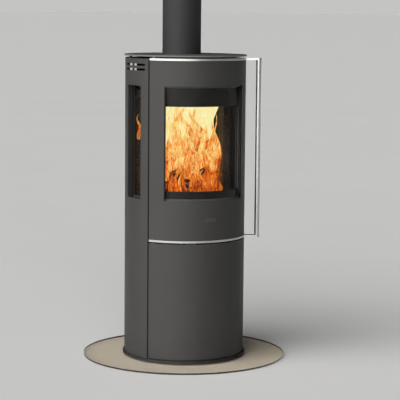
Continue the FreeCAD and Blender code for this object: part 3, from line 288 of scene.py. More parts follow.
def paint(name, colour, rough, grain):
    """Heat-proof paint: a fine dry grain, slow uneven tone and soft wiping marks."""
    recipe = Recipe(name)
    slow = recipe.noise(7.0, detail=4.0)
    wiped = recipe.noise(5.0, detail=6.0, place=recipe.stretched(9.0, 9.0, 1.4))
    recipe.colour(recipe.shades(recipe.sum(slow, wiped), colour, 0.90, 1.08))
    recipe.roughness(recipe.spread(wiped, rough - 0.05, rough + 0.07, 0.3, 0.7))
    fine = recipe.noise(1500.0, detail=2.0)
    peel = recipe.noise(320.0, detail=1.0)
    recipe.bumps((fine, grain), (peel, grain * 0.8))
    recipe.fixed(specular_ior_level=0.28)
    return recipe.material


def brushed(name, colour, rough, along, marks):
    """Ground steel, with fine scratches along one direction given as coordinate scales."""
    recipe = Recipe(name)
    recipe.fixed(metallic=1.0, anisotropic=0.45)
    scratches = recipe.noise(1.0, detail=5.0, roughness=0.7, place=recipe.stretched(*along))
    clouds = recipe.noise(25.0, detail=3.0)
    recipe.colour(recipe.shades(recipe.sum(scratches, clouds, 0.3), colour, 0.86, 1.08))
    recipe.roughness(recipe.spread(scratches, rough - 0.07, rough + 0.09, 0.3, 0.7))
    recipe.bumps((scratches, marks))
    return recipe.material


def zinc(name):
    """Bright zinc plate with its faint spangle."""
    recipe = Recipe(name)
    recipe.fixed(metallic=1.0)
    spangle = recipe.cells(260.0, output="Distance")
    tone = recipe.noise(60.0, detail=4.0)
    recipe.colour(recipe.shades(recipe.sum(spangle, tone), (0.56, 0.57, 0.58), 0.8, 1.12))
    recipe.roughness(recipe.spread(tone, 0.28, 0.48, 0.3, 0.7))
    recipe.bumps((tone, 0.00004))
    return recipe.material


def cast_iron(name):
    """Sand-cast iron, pitted and dusted with ash in patches."""
    recipe = Recipe(name)
    grain = recipe.noise(480.0, detail=5.0, roughness=0.65)
    dust = recipe.noise(38.0, detail=4.0)
    recipe.colour(recipe.ramp(dust, (0.40, (0.035, 0.033, 0.031)), (0.72, (0.17, 0.155, 0.14))))
    recipe.roughness(recipe.spread(grain, 0.62, 0.9))
    recipe.bumps((grain, 0.0004), (recipe.noise(90.0, detail=2.0), 0.0006))
    return recipe.material


def heat_board(name):
    """Pressed vermiculite board, flaky, darkened by soot in upright streaks."""
    recipe = Recipe(name)
    flakes = recipe.cells(230.0, output="Color")
    split = recipe.tree.nodes.new("ShaderNodeSeparateColor")
    recipe.link(flakes, split.inputs["Color"])
    soot = recipe.noise(9.0, detail=5.0, place=recipe.stretched(1.0, 1.0, 0.35))
    tone = recipe.ramp(recipe.sum(split.outputs["Red"], soot, 0.62),
                       (0.32, (0.013, 0.011, 0.009)), (0.52, (0.045, 0.034, 0.026)),
                       (0.74, (0.14, 0.105, 0.075)))
    recipe.colour(tone)
    recipe.roughness(recipe.spread(soot, 0.8, 0.98))
    recipe.bumps((recipe.cells(230.0), 0.0007), (recipe.noise(700.0), 0.0002))
    return recipe.material


def rope(name):
    """Braided glass rope, dark, with pale fibres mixed through it."""
    recipe = Recipe(name)
    fibres = recipe.noise(1.0, detail=4.0, place=recipe.stretched(900.0, 900.0, 2600.0))
    recipe.colour(recipe.ramp(fibres, (0.35, (0.035, 0.034, 0.033)), (0.7, (0.16, 0.155, 0.15))))
    recipe.roughness(recipe.spread(fibres, 0.85, 1.0))
    recipe.bumps((fibres, 0.0003))
    return recipe.material


def clear_glass(name, tint, body, cover, gloss_rough, edge=None):
    """Pane: what is behind shows through a tint, under a thin share of glossy glass.

    A colour given for the rim paints shade on the pane's upright faces and nearly closes them: painted
    shade for the dark look of a thick plate's rim.
    """
    recipe = Recipe(name)
    tree = recipe.tree
    dirt = recipe.noise(14.0, detail=5.0)
    face = recipe.shades(dirt, body, 0.9, 1.1)
    if edge is not None:
        # Painted shade: the pane's upright faces take the dark rim colour and close up.
        rim = recipe.upright_faces(0.0, 1.0)
        face = recipe.tinted(face, edge, rim)
    recipe.colour(face)
    recipe.roughness(recipe.spread(dirt, gloss_rough * 0.6, gloss_rough * 1.6, 0.3, 0.7))
    through = tree.nodes.new("ShaderNodeBsdfTransparent")
    recipe.link(recipe.shades(dirt, tint, 0.97, 1.02), through.inputs["Color"])
    share = recipe.spread(dirt, cover * 0.85, cover * 1.15, 0.3, 0.7)
    if edge is not None:
        share = recipe.most(share, rim)
    mix = tree.nodes.new("ShaderNodeMixShader")
    recipe.link(share, mix.inputs["Fac"])
    recipe.link(through.outputs["BSDF"], mix.inputs[1])
    recipe.link(recipe.surface.outputs["BSDF"], mix.inputs[2])
    recipe.link(mix.outputs["Shader"], recipe.output.inputs["Surface"])
    return recipe.material


def enamel(name):
    """Black ceramic print, seen through the glass it is baked on."""
    recipe = Recipe(name)
    tone = recipe.noise(40.0, detail=3.0)
    recipe.colour(recipe.shades(tone, (0.0105, 0.0105, 0.0105), 0.85, 1.1))
    recipe.roughness(recipe.spread(tone, 0.20, 0.30))
    recipe.bumps((recipe.noise(600.0), 0.00001))
    recipe.fixed(specular_ior_level=0.2)
    return recipe.material


def badge_paint(name, colour):
    """The badge plate: the body's paint, worn lighter along its raised face."""
    recipe = Recipe(name)
    worn = recipe.noise(260.0, detail=4.0)
    recipe.colour(recipe.shades(worn, colour, 0.9, 1.25))
    recipe.roughness(recipe.spread(worn, 0.38, 0.5))
    recipe.bumps((recipe.noise(1500.0), 0.00002))
    return recipe.material


def charred_wood(name):
    """Burning split wood: black cubed char with heat glowing in its cracks."""
    recipe = Recipe(name)
    blocks = recipe.cells(55.0, feature="DISTANCE_TO_EDGE", place=recipe.stretched(0.5, 1.0, 1.0))
    ash = recipe.noise(30.0, detail=6.0)
    recipe.colour(recipe.ramp(ash, (0.42, (0.012, 0.010, 0.009)), (0.62, (0.06, 0.04, 0.03)),
                              (0.8, (0.30, 0.27, 0.25))))
    recipe.fixed(roughness=0.9)
    glow = recipe.ramp(blocks, (0.0, (1.0, 0.24, 0.02)), (0.03, (0.45, 0.04, 0.0)), (0.09, 0.0))
    recipe.link(glow, recipe.surface.inputs["Emission Color"])
    recipe.link(recipe.spread(ash, 0.0, 1.6, 0.40, 0.7), recipe.surface.inputs["Emission Strength"])
    recipe.bumps((blocks, 0.004), (ash, 0.002))
    return recipe.material


def embers(name):
    """Bed of embers: bright in the middle of each coal, grey ash between."""
    recipe = Recipe(name)
    coals = recipe.cells(85.0)
    heat = recipe.noise(26.0, detail=4.0)
    recipe.colour(recipe.ramp(heat, (0.4, (0.03, 0.02, 0.015)), (0.65, (0.28, 0.24, 0.21))))
    recipe.fixed(roughness=0.95)
    glow = recipe.ramp(recipe.sum(coals, heat, 0.6), (0.28, (1.0, 0.32, 0.03)),
                       (0.44, (0.9, 0.09, 0.0)), (0.6, (0.08, 0.0, 0.0)))
    recipe.link(glow, recipe.surface.inputs["Emission Color"])
    recipe.surface.inputs["Emission Strength"].default_value = 2.2
    recipe.bumps((coals, 0.004))
    return recipe.material


def flame(name, stops, strength, open_share, streaks, rise_share=0.42):
    """Flame: coloured light in upright wisps, with gaps that show what is behind."""
    recipe = Recipe(name)
    tree = recipe.tree
    tree.nodes.remove(recipe.surface)
    upright = recipe.stretched(1.0, 1.0, 0.36)
    body = recipe.noise(streaks, detail=4.0, roughness=0.6, distortion=1.8, place=upright)
    vein = recipe.noise(streaks * 1.5, detail=2.0, distortion=2.6, place=upright)
    lines = recipe.ramp(vein, (0.42, 0.0), (0.50, 1.0), (0.58, 0.0))
    rise = recipe.height(FLOOR_BOARD_HIGH, BAFFLE_LOW)
    heat = recipe.sum(recipe.spread(body, 0.0, 1.0, 0.30, 0.70), rise, rise_share)
    heat = recipe.sum(heat, lines, 0.22)
    light = tree.nodes.new("ShaderNodeEmission")
    recipe.link(recipe.ramp(heat, *stops), light.inputs["Color"])
    light.inputs["Strength"].default_value = strength
    clear = tree.nodes.new("ShaderNodeBsdfTransparent")
    gaps = recipe.noise(streaks * 1.3, detail=3.0, distortion=1.6, place=upright)
    mix = tree.nodes.new("ShaderNodeMixShader")
    solid = recipe.spread(gaps, 1.0 - open_share, 1.0, 0.44, 0.53)
    recipe.link(solid, mix.inputs["Fac"])
    recipe.link(clear.outputs["BSDF"], mix.inputs[1])
    recipe.link(light.outputs["Emission"], mix.inputs[2])
    recipe.link(mix.outputs["Shader"], recipe.output.inputs["Surface"])
    return recipe.material


BODY_GREY = (0.033, 0.0319, 0.0307)
UPRIGHT = (700.0, 700.0, 9.0)
LEVEL = (16.0, 16.0, 2600.0)

body_paint = paint("body_paint", BODY_GREY, 0.50, 0.000022)
# The top plate has the body's grey paint; its lighter tone here is painted sheen that stands in for
# grazing light on its level face.
top_plate_painted_sheen = paint("top_plate_painted_sheen", (0.120, 0.118, 0.113), 0.42, 0.000022)
black_paint = paint("black_paint", (0.016, 0.016, 0.016), 0.55, 0.00003)
flue_paint = paint("flue_paint", (0.020, 0.020, 0.021), 0.62, 0.00004)
strip_steel = brushed("strip_steel", (0.52, 0.516, 0.504), 0.30, LEVEL, 0.00001)
bar_steel = brushed("bar_steel", (0.54, 0.536, 0.523), 0.26, UPRIGHT, 0.00001)
zinc_plate = zinc("zinc_plate")
iron = cast_iron("cast_iron")
board = heat_board("heat_board")
seal_rope = rope("seal_rope")
front_pane = clear_glass("front_pane", (0.97, 0.965, 0.95), (0.010, 0.010, 0.010), 0.07, 0.05)
side_pane = clear_glass("side_pane", (0.84, 0.82, 0.79), (0.008, 0.008, 0.008), 0.10, 0.05)
# The hearth pane's last colour is painted shade on its rim, for the dark look of the thick glass edge.
hearth_pane = clear_glass("hearth_pane", (0.965, 0.935, 0.885), (0.42, 0.37, 0.31), 0.06, 0.03,
                          (0.020, 0.018, 0.014))
black_print = enamel("black_print")
badge_finish = badge_paint("badge_finish", BODY_GREY)
burning_wood = charred_wood("burning_wood")
ember_glow = embers("ember_glow")

CREAM = (0.93, 0.83, 0.40)
WHITE_HOT = (1.0, 0.97, 0.68)
YELLOW = (1.0, 0.80, 0.24)
PEACH = (0.96, 0.58, 0.19)
ORANGE = (0.92, 0.24, 0.018)
DEEP_ORANGE = (0.60, 0.09, 0.006)
BROWN = (0.14, 0.026, 0.006)
GLOW_STOPS = ((0.26, PEACH), (0.46, CREAM), (0.66, CREAM), (0.86, WHITE_HOT))
PALE_STOPS = ((0.26, PEACH), (0.44, YELLOW), (0.58, CREAM), (0.76, WHITE_HOT))
ORANGE_STOPS = ((0.16, BROWN), (0.28, DEEP_ORANGE), (0.40, ORANGE), (0.54, PEACH), (0.68, YELLOW),
                (0.82, WHITE_HOT))
RED_STOPS = ((0.14, BROWN), (0.30, DEEP_ORANGE), (0.46, ORANGE), (0.60, PEACH), (0.74, YELLOW))
glow_light = flame("glow_light", GLOW_STOPS, 1.25, 0.10, 11.0, 0.6)
pale_flame = flame("pale_flame", PALE_STOPS, 1.25, 0.75, 18.0, 0.5)
orange_flame = flame("orange_flame", ORANGE_STOPS, 1.2, 0.7, 19.0)
red_flame = flame("red_flame", RED_STOPS, 1.2, 0.6, 24.0)

FINISHES = {
    body_paint: ["side_panel_right", "side_panel_left", "rear_panel", "fire_door_skin",
                 "storage_door_skin"],
    top_plate_painted_sheen: ["top_plate"],
    black_paint: ["plinth_ring", "base_panel", "top_ring", "top_spacers", "firebox_front_frame",
                  "firebox_side_right", "firebox_side_left", "firebox_rear_wall",
                  "firebox_floor", "ash_chamber_floor", "firebox_top", "log_retainer",
                  "ash_pan", "side_reveals", "flue_collar", "air_box", "air_spigot",
                  "storage_liner", "hinge_brackets", "door_inner_frame", "glass_retainers",
                  "storage_hinge_plates"],
    flue_paint: ["flue_pipe"],
    strip_steel: ["door_top_trim", "door_bottom_trim"],
    bar_steel: ["handle_bar", "handle_screws"],
    zinc_plate: ["rear_screws", "hinge_pins", "magnet_catch", "storage_catch_plate",
                 "slider_guides", "side_glass_clips", "latch_bracket", "latch_spring",
                 "latch_arm", "latch_roller", "latch_tongue", "primary_air_slider",
                 "secondary_air_slider"],
    front_pane: ["door_glass"],
    side_pane: ["side_glass_right", "side_glass_left"],
    hearth_pane: ["hearth_plate"],
    board: ["lining_rear", "lining_sides", "lining_floor", "baffle_plate"],
    seal_rope: ["side_glass_seals", "glass_gasket", "door_seal"],
    iron: ["grate"],
    badge_finish: ["door_badge"],
}


def dress_frame():
    """Give every CAD node its node material."""
    for material, names in FINISHES.items():
        for name in names:
            slots = NODES[name].material_slots
            for slot in slots:
                slot.material = material
            if not slots:
                NODES[name].data.materials.append(material)


# ---------------------------------------------------------------- printed glass


PRINT_THICK = 0.0001
PRINT_GAP = 0.0001
PRINT_HALF = math.radians(44.8)
PRINT_SEGMENTS = 48
TOP_BAND = 0.078
BOTTOM_BAND = 0.036
RECESS_HIGH = 0.006
GLASS_THICK = 0.004
GLASS_LAP = 0.012


def curved_band(name, radius, low, high, half, segments, thick, material):
    """Thin curved plate on the stove's axis, between two heights."""
    rings = []
    for i in range(segments + 1):
        angle = -half + 2 * half * i / segments
        rings.append([
            around(radius, angle, low), around(radius, angle, high),
            around(radius - thick, angle, high), around(radius - thick, angle, low),
        ])
    vertices, faces = loft(rings)
    return new_object(name, vertices, faces, material, smooth=False)


def printed_bands():
    """Black bands along the top and bottom of the door glass, on its inner face."""
    glass_low, glass_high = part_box("door_glass")
    glass_outer = -glass_low.y
    radius = glass_outer - GLASS_THICK - PRINT_GAP
    window_low = glass_low.z + GLASS_LAP
    window_high = glass_high.z - GLASS_LAP
    spans = {
        "print_top": (window_high - TOP_BAND, window_high - RECESS_HIGH),
        "print_bottom": (window_low + RECESS_HIGH, window_low + BOTTOM_BAND),
    }
    for name, (low, high) in spans.items():
        band = curved_band(name, radius, low, high, PRINT_HALF, PRINT_SEGMENTS, PRINT_THICK, black_print)
        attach(band, "fire_door")


# ---------------------------------------------------------------- braided seal


BRAID_SIDES = 16
BRAID_STEP = 0.003
BRAID_LAY = 0.016
BRAID_STRANDS = 4
BRAID_DEPTH = 0.16
SEAL_CORNER = 0.030
SEAL_THICK = 0.0036
SEAL_WIDTH = 0.012


def rounded_loop(half_width, low, high, corner, step):
    """Evenly spaced points (across, up) round a rectangle with round corners."""
    straight_up = high - low - 2 * corner
    straight_across = 2 * half_width - 2 * corner
    turn = 0.5 * math.pi * corner
    corners = [(half_width - corner, low + corner, -90.0), (half_width - corner, high - corner, 0.0),
               (-half_width + corner, high - corner, 90.0), (-half_width + corner, low + corner, 180.0)]
    points = []
    for index, (cx, cz, start) in enumerate(corners):
        count = max(4, round(turn / step))
        for i in range(count):
            angle = math.radians(start + 90.0 * i / count)
            points.append((cx + corner * math.cos(angle), cz + corner * math.sin(angle)))
        run = straight_up if index % 2 == 0 else straight_across
        end = math.radians(start + 90.0)
        from_x = cx + corner * math.cos(end)
        from_z = cz + corner * math.sin(end)
        along = (-math.sin(end), math.cos(end))
        count = max(2, round(run / step))
        for i in range(count):
            points.append((from_x + along[0] * run * i / count, from_z + along[1] * run * i / count))
    return points


def braided_seal():
    """Rope seal of the fire door as a flat braid, laid round the inner frame."""
    low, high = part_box("door_seal")
    outer = -low.y
    radius = outer - 0.5 * SEAL_THICK
    half_angle = math.asin(high.x / outer)
    half_width = radius * half_angle - 0.5 * SEAL_WIDTH
    bottom = low.z + 0.5 * SEAL_WIDTH
    top = high.z - 0.5 * SEAL_WIDTH
    path = rounded_loop(half_width, bottom, top, SEAL_CORNER, BRAID_STEP)
    rings = []
    travelled = 0.0
    for index, (across, up) in enumerate(path):
        nearby = path[(index + 1) % len(path)]
        before = path[index - 1]
        step = math.dist(nearby, (across, up))
        tangent = Vector((nearby[0] - before[0], nearby[1] - before[1])).normalized()
        side = Vector((-tangent.y, tangent.x))
        ring = []
        for j in range(BRAID_SIDES):
            angle = 2 * math.pi * j / BRAID_SIDES
            turn = 2 * math.pi * travelled / BRAID_LAY
            ridge = max(math.cos(BRAID_STRANDS * angle + turn), math.cos(BRAID_STRANDS * angle - turn))
            size = 1.0 - BRAID_DEPTH * (1.0 - ridge)
            u = 0.5 * SEAL_WIDTH * size * math.cos(angle)
            w = 0.5 * SEAL_THICK * size * math.sin(angle)
            ring.append(around(radius + w, (across + side.x * u) / radius, up + side.y * u))
        rings.append(ring)
        travelled += step
    vertices, faces = loft(rings, closed_path=True)
    seal = new_object("door_seal_braid", vertices, faces, seal_rope)
    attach(seal, "fire_door")
    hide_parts("door_seal")


# ---------------------------------------------------------------- latch spring and screws


SPRING_TURNS = 6
SPRING_STEPS = 28
WIRE_RADIUS = 0.0009
WIRE_SIDES = 10
SPRING_LEG = 0.016


def wire(points, radius, sides):
    """Rings of a round wire along a list of points."""
    rings = []
    for index, point in enumerate(points):
        ahead = points[min(index + 1, len(points) - 1)]
        behind = points[max(index - 1, 0)]
        along = (ahead - behind).normalized()
        across = along.cross(Vector((0, 0, 1)))
        if across.length < 0.1:
            across = along.cross(Vector((1, 0, 0)))
        across.normalize()
        other = across.cross(along)
        rings.append([point + radius * (math.cos(a) * across + math.sin(a) * other)
                      for a in (2 * math.pi * k / sides for k in range(sides))])
    return rings


def coiled_spring():
    """Torsion spring of the latch, wound round its post, with two straight legs."""
    low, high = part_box("latch_spring")
    middle = 0.5 * (low + high)
    radius = 0.5 * (high.x - low.x) - WIRE_RADIUS
    bottom = low.z + WIRE_RADIUS
    rise = high.z - low.z - 2 * WIRE_RADIUS
    total = SPRING_TURNS * SPRING_STEPS
    points = []
    for i in range(total + 1):
        angle = 2 * math.pi * i / SPRING_STEPS
        points.append(Vector((middle.x + radius * math.cos(angle), middle.y + radius * math.sin(angle),
                              bottom + rise * i / total)))
    points.insert(0, points[0] + Vector((0.0, -SPRING_LEG, 0.0)))
    points.append(points[-1] + Vector((-0.3 * SPRING_LEG, SPRING_LEG, 0.0)))
    vertices, faces = loft(wire(points, WIRE_RADIUS, WIRE_SIDES))
    spring = new_object("latch_spring_coil", vertices, faces, zinc_plate)
    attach(spring, "stove")
    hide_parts("latch_spring")


SCREW_HEAD_RADIUS = 0.0042
SCREW_HEAD_RISE = 0.0024
SCREW_SOCKET_RADIUS = 0.0019
SCREW_SOCKET_DEPTH = 0.0012
SCREW_SIDES = 24
SCREW_ANGLE = math.radians(128.0)
SCREW_HEIGHTS = (0.068, 0.428, 0.788, 1.093)
BODY_RADIUS = 0.240
HEAD_PROFILE = ((1.0, 0.0), (1.0, 0.22), (0.94, 0.5), (0.80, 0.76), (0.62, 0.93))
SOCKET_LOBES = 0.14


def screw_head(centre, outward):
    """Vertices and faces of a domed head with a six-lobed socket."""
    side = outward.cross(Vector((0, 0, 1))).normalized()
    up = side.cross(outward).normalized()

    def ring(radius, lift, lobes=0.0):
        points = []
        for k in range(SCREW_SIDES):
            angle = 2 * math.pi * k / SCREW_SIDES
            size = radius * (1.0 + lobes * math.cos(6 * angle))
            across = side * math.cos(angle) + up * math.sin(angle)
            points.append(centre + outward * lift + size * across)
        return points

    rings = [ring(SCREW_HEAD_RADIUS * share, SCREW_HEAD_RISE * lift) for share, lift in HEAD_PROFILE]
    rings.append(ring(SCREW_SOCKET_RADIUS * 1.05, SCREW_HEAD_RISE, SOCKET_LOBES))
    rings.append(ring(SCREW_SOCKET_RADIUS, SCREW_HEAD_RISE - SCREW_SOCKET_DEPTH, SOCKET_LOBES))
    return loft(rings)


def rear_screw_heads():
    """Domed screws along the two rear seams, at the places of the plain ones."""
    parts = []
    for z in SCREW_HEIGHTS:
        for angle in (-SCREW_ANGLE, SCREW_ANGLE):
            outward = around(1.0, angle, 0.0)
            parts.append(screw_head(around(BODY_RADIUS, angle, z), outward))
    vertices, faces = merged(parts)
    heads = new_object("rear_screw_heads", vertices, faces, zinc_plate)
    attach(heads, "stove")
    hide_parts("rear_screws")


# ---------------------------------------------------------------- fire


LOG_RINGS = 26
LOG_SIDES = 28
LOG_LIFT = 0.004
# Each log: its two ends above the floor board's top, its radius and the seed of its roughness
LOG_STACK = (
    ((-0.135, -0.060, 0.036), (0.120, -0.048, 0.030), 0.036, 1.0),
    ((-0.120, 0.048, 0.034), (0.140, 0.040, 0.038), 0.038, 5.0),
    ((-0.095, -0.070, 0.078), (0.085, 0.060, 0.085), 0.032, 9.0),
    ((0.100, -0.060, 0.086), (-0.060, 0.074, 0.118), 0.028, 13.0),
)
EMBER_CELL = 0.006
EMBER_MARGIN = 0.004
EMBER_RISE = 0.018
EMBER_LUMPS = 0.010
FLAME_CLEARANCE = 0.006
FLAME_RINGS = 26
FLAME_SIDES = 12
FLAME_FLATNESS = 0.28


def split_log(start, end, radius, seed):
    """A split log: a round bark side and a broken flat side, with rough ends."""
    axis = (end - start).normalized()
    side = axis.cross(Vector((0, 0, 1))).normalized()
    up = side.cross(axis)
    rings = []
    for i in range(LOG_RINGS):
        share = i / (LOG_RINGS - 1)
        worn = 1.0 - 0.25 * abs(2 * share - 1) ** 6
        centre = start.lerp(end, share)
        ring = []
        for j in range(LOG_SIDES):
            angle = 2 * math.pi * j / LOG_SIDES
            flat = 1.0 / max(math.cos(((angle + math.pi / 3) % (2 * math.pi / 3)) - math.pi / 3), 0.5)
            shape = 0.55 + 0.25 * min(flat, 1.8)
            point = Vector((share * 6.0, 1.7 * math.cos(angle), 1.7 * math.sin(angle) + seed))
            rough = 1.0 + 0.16 * noise.noise(point) + 0.05 * noise.noise(point * 4.0)
            reach = radius * shape * rough * worn
            ring.append(centre + side * reach * math.cos(angle) + up * reach * math.sin(angle))
        rings.append(ring)
    return loft(rings)


def burning_logs():
    """Four split logs, stacked across and over the grate."""
    lift = Vector((0.0, 0.0, FLOOR_BOARD_HIGH + LOG_LIFT))
    for index, (start, end, radius, seed) in enumerate(LOG_STACK):
        vertices, faces = split_log(lift + Vector(start), lift + Vector(end), radius, seed)
        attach(new_object(f"log_{index + 1}", vertices, faces, burning_wood), "stove")


def ember_bed():
    """Heap of embers over the grate."""
    x_low, x_high = GRATE_LOW.x + EMBER_MARGIN, GRATE_HIGH.x - EMBER_MARGIN
    y_low, y_high = GRATE_LOW.y + EMBER_MARGIN, GRATE_HIGH.y - EMBER_MARGIN
    columns = round((x_high - x_low) / EMBER_CELL)
    rows = round((y_high - y_low) / EMBER_CELL)
    bottom = GRATE_HIGH.z + 0.0005
    top, under = [], []
    for j in range(rows + 1):
        for i in range(columns + 1):
            x = x_low + (x_high - x_low) * i / columns
            y = y_low + (y_high - y_low) * j / rows
            from_rim = min(i, columns - i, j, rows - j) / 4.0
            lump = EMBER_LUMPS * noise.noise(Vector((x, y, 0.0)) * 45.0)
            heap = min(1.0, from_rim) * (EMBER_RISE + lump)
            top.append(Vector((x, y, bottom + 0.001 + max(heap, 0.0))))
            under.append(Vector((x, y, bottom)))
    vertices, faces = shut_sheet(top, under, columns, rows)
    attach(new_object("ember_bed", vertices, faces, ember_glow), "stove")


def tongue(base, height, width, facing, rng):
    """One flame: a flat twisted leaf that sways as it rises to a point."""
    sway = 0.16 * height * rng.uniform(0.5, 1.3)
    waves = rng.uniform(0.7, 1.5)
    phase = rng.uniform(0.0, 2 * math.pi)
    twist = rng.uniform(-1.2, 1.2)
    drift = Vector((rng.uniform(-0.12, 0.12), rng.uniform(-0.05, 0.05), 0.0)) * height
    rings = []
    for i in range(FLAME_RINGS):
        share = i / (FLAME_RINGS - 1)
        belly = math.sin(math.pi * (0.10 + 0.90 * share) ** 0.62) ** 1.1
        half = 0.5 * width * max(belly, 0.012)
        bend = sway * share * math.sin(2 * math.pi * waves * share + phase)
        turn = facing + twist * share
        across = Vector((math.cos(turn), math.sin(turn), 0.0))
        through = Vector((-across.y, across.x, 0.0))
        centre = base + Vector((bend * 0.9, bend * 0.25, height * share)) + drift * share ** 2
        ring = []
        for j in range(FLAME_SIDES):
            angle = 2 * math.pi * j / FLAME_SIDES
            outward = across * math.cos(angle) + through * FLAME_FLATNESS * math.sin(angle)
            ring.append(centre + half * outward)
        rings.append(ring)
    return loft(rings)


def flame_group(name, material, count, seed, spread_x, spread_y, start_z, heights, widths):
    """A group of tongues with their feet spread over a rectangle."""
    rng = random.Random(seed)
    parts = []
    for index in range(count):
        share = (index + rng.uniform(0.15, 0.85)) / count
        x = spread_x[0] + (spread_x[1] - spread_x[0]) * share
        y = rng.uniform(*spread_y)
        z = rng.uniform(*start_z)
        height = min(rng.uniform(*heights), BAFFLE_LOW - FLAME_CLEARANCE - z)
        parts.append(tongue(Vector((x, y, z)), height, rng.uniform(*widths), rng.uniform(0.1, 0.8), rng))
    vertices, faces = merged(parts)
    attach(new_object(name, vertices, faces, material), "stove")


VEIL_THICK = 0.002
VEIL_COLUMNS = 56
VEIL_ROWS = 28
VEIL_LEFT = -0.118
VEIL_RIGHT = 0.150
VEIL_BEND = 0.030
VEIL_REACH = 0.020
VEIL_FLARE = 0.070
VEIL_FLARE_FROM = 0.74
VEIL_FLARE_SPAN = 0.22
VEIL_OFF_BOARD = 0.016
VEIL_FOOT = 0.02
VEIL_CLEARANCE = 0.004
# Each wave of the veil: its depth, then its turns per metre across and up, in radians
VEIL_WAVES = ((0.004, 34.0, 9.0), (0.003, 60.0, -21.0))


def veil_path(share, rise):
    """Point of the veil: along the rear board, then forward round a bend at the right."""
    back = REAR_BOARD_FRONT - VEIL_OFF_BOARD
    across = VEIL_RIGHT - VEIL_BEND - VEIL_LEFT
    turn = 0.5 * math.pi * VEIL_BEND
    reach = VEIL_REACH + VEIL_FLARE * min(max(rise - VEIL_FLARE_FROM, 0.0) / VEIL_FLARE_SPAN, 1.0)
    travelled = share * (across + turn + reach)
    if travelled < across:
        return VEIL_LEFT + travelled, back
    if travelled < across + turn:
        angle = (travelled - across) / VEIL_BEND
        bend_x = VEIL_BEND * math.sin(angle)
        bend_y = VEIL_BEND * (1 - math.cos(angle))
        return VEIL_RIGHT - VEIL_BEND + bend_x, back - bend_y
    return VEIL_RIGHT, back - VEIL_BEND - (travelled - across - turn)


def back_glow():
    """Sheet of pale flame that stands against the rear board and bends forward at the right."""
    low = FLOOR_BOARD_HIGH + VEIL_FOOT
    high = BAFFLE_LOW - VEIL_CLEARANCE
    front, back = [], []
    for j in range(VEIL_ROWS + 1):
        rise = j / VEIL_ROWS
        z = low + (high - low) * rise
        for i in range(VEIL_COLUMNS + 1):
            x, y = veil_path(i / VEIL_COLUMNS, rise)
            wave = sum(depth * math.sin(across * x + up * z) for depth, across, up in VEIL_WAVES)
            front.append(Vector((x - 0.5 * wave, y + wave, z)))
            back.append(Vector((x - 0.5 * wave + 0.4 * VEIL_THICK, y + wave + VEIL_THICK, z)))
    vertices, faces = shut_sheet(front, back, VEIL_COLUMNS, VEIL_ROWS)
    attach(new_object("flame_glow", vertices, faces, glow_light), "stove")


CURL_FOOT = Vector((-0.1965, 0.012, 0.872))
CURL_HEIGHT = 0.112
CURL_WIDTH = 0.016
CURL_FACING = -0.44


def side_curl():
    """Lone curl of flame at the left side window."""
    rng = random.Random(5)
    vertices, faces = tongue(CURL_FOOT, CURL_HEIGHT, CURL_WIDTH, CURL_FACING, rng)
    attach(new_object("flame_curl", vertices, faces, red_flame), "stove")


def fire():
    """Logs, embers, a pale veil, a curl at the side window and four groups of flame."""
    low = FLOOR_BOARD_HIGH
    burning_logs()
    ember_bed()
    back_glow()
    side_curl()
    flame_group("flames_back", pale_flame, count=12, seed=11, spread_x=(-0.095, 0.120),
                spread_y=(0.045, 0.070), start_z=(low + 0.05, low + 0.12),
                heights=(0.26, 0.36), widths=(0.040, 0.070))
    flame_group("flames_middle", orange_flame, count=16, seed=23, spread_x=(-0.105, 0.140),
                spread_y=(-0.010, 0.040), start_z=(low + 0.03, low + 0.10),
                heights=(0.19, 0.34), widths=(0.034, 0.060))
    flame_group("flames_front", orange_flame, count=20, seed=37, spread_x=(-0.110, 0.112),
                spread_y=(-0.070, -0.020), start_z=(low + 0.02, low + 0.06),
                heights=(0.13, 0.26), widths=(0.028, 0.050))
    flame_group("flames_low", red_flame, count=18, seed=53, spread_x=(-0.120, 0.118),
                spread_y=(-0.095, -0.060), start_z=(low + 0.002, low + 0.02),
                heights=(0.08, 0.15), widths=(0.026, 0.045))


# ---------------------------------------------------------------- studio


def plain_stage():
    """Pale floor that runs to the horizon, in rings that are small near the stove."""
    rings = [[Vector((0.0, 0.0, -FLOOR_DROP))]]
    for radius in FLOOR_RADII[1:]:
        turns = [2 * math.pi * k / FLOOR_SIDES for k in range(FLOOR_SIDES)]
        rings.append([around(radius, turn, -FLOOR_DROP) for turn in turns])
    vertices = [point for ring in rings for point in ring]
    faces = [(0, 1 + k, 1 + (k + 1) % FLOOR_SIDES) for k in range(FLOOR_SIDES)]
    for level in range(1, len(rings) - 1):
        inner = 1 + (level - 1) * FLOOR_SIDES
        outer = inner + FLOOR_SIDES
        for k in range(FLOOR_SIDES):
            after = (k + 1) % FLOOR_SIDES
            faces.append((inner + k, outer + k, outer + after, inner + after))
    recipe = Recipe("studio_floor")
    tone = recipe.noise(0.8, detail=2.0)
    recipe.colour(recipe.shades(tone, FLOOR_TONE, 0.99, 1.01))
    recipe.fixed(roughness=0.8)
    new_object("studio_floor", vertices, faces, recipe.material, smooth=False)


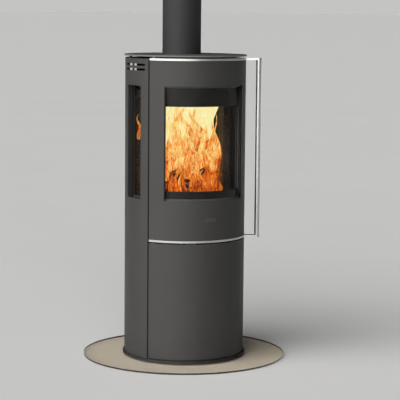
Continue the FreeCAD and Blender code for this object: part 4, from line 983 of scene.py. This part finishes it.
def studio_light():
    """Surroundings that are bright at the left, faint overhead and dark at the right."""
    world = bpy.data.worlds.new("studio")
    world.use_nodes = True
    tree = world.node_tree
    tree.nodes.clear()
    direction = tree.nodes.new("ShaderNodeTexCoord").outputs["Generated"]
    dot = tree.nodes.new("ShaderNodeVectorMath")
    dot.operation = "DOT_PRODUCT"
    dot.inputs[1].default_value = BRIGHT_SIDE
    tree.links.new(direction, dot.inputs[0])
    curve = tree.nodes.new("ShaderNodeValToRGB")
    curve.color_ramp.interpolation = "EASE"
    elements = curve.color_ramp.elements
    while len(elements) < len(SIDE_LIGHT):
        elements.new(0.5)
    for element, (position, level) in zip(elements, SIDE_LIGHT):
        element.position = 0.5 + 0.5 * position
        element.color = (level, level, level, 1.0)
    half = tree.nodes.new("ShaderNodeMapRange")
    half.inputs["From Min"].default_value = -1.0
    tree.links.new(dot.outputs["Value"], half.inputs["Value"])
    tree.links.new(half.outputs["Result"], curve.inputs["Fac"])
    split = tree.nodes.new("ShaderNodeSeparateXYZ")
    tree.links.new(direction, split.inputs["Vector"])
    above = tree.nodes.new("ShaderNodeMapRange")
    above.inputs["From Min"].default_value = OVERHEAD_FROM
    above.inputs["From Max"].default_value = OVERHEAD_FULL
    above.inputs["To Max"].default_value = OVERHEAD_LIGHT
    tree.links.new(split.outputs["Z"], above.inputs["Value"])
    total = tree.nodes.new("ShaderNodeMath")
    tree.links.new(curve.outputs["Color"], total.inputs[0])
    tree.links.new(above.outputs["Result"], total.inputs[1])
    lit = tree.nodes.new("ShaderNodeBackground")
    tree.links.new(total.outputs["Value"], lit.inputs["Strength"])
    seen = tree.nodes.new("ShaderNodeBackground")
    seen.inputs["Color"].default_value = (*SEEN_SKY, 1.0)
    path = tree.nodes.new("ShaderNodeLightPath")
    mix = tree.nodes.new("ShaderNodeMixShader")
    output = tree.nodes.new("ShaderNodeOutputWorld")
    tree.links.new(path.outputs["Is Camera Ray"], mix.inputs["Fac"])
    tree.links.new(lit.outputs["Background"], mix.inputs[1])
    tree.links.new(seen.outputs["Background"], mix.inputs[2])
    tree.links.new(mix.outputs["Shader"], output.inputs["Surface"])
    bpy.context.scene.world = world


def make_camera():
    """Camera at the viewing place, looking slightly down at the stove."""
    data = bpy.data.cameras.new("camera")
    data.sensor_width = SENSOR_WIDTH
    data.lens = CAMERA_LENS
    data.clip_end = 2 * FLOOR_RADII[-1]
    camera = bpy.data.objects.new("camera", data)
    heading = Matrix.Rotation(-CAMERA_HEADING, 4, "Z")
    tilt = Matrix.Rotation(0.5 * math.pi - CAMERA_TILT, 4, "X")
    roll = Matrix.Rotation(CAMERA_ROLL, 4, "Z")
    camera.matrix_world = Matrix.Translation(CAMERA_AT) @ heading @ tilt @ roll
    bpy.context.scene.collection.objects.link(camera)
    bpy.context.scene.camera = camera


dress_frame()
printed_bands()
braided_seal()
coiled_spring()
rear_screw_heads()
fire()
plain_stage()
studio_light()
make_camera()
bpy.context.scene.view_settings.view_transform = "Standard"
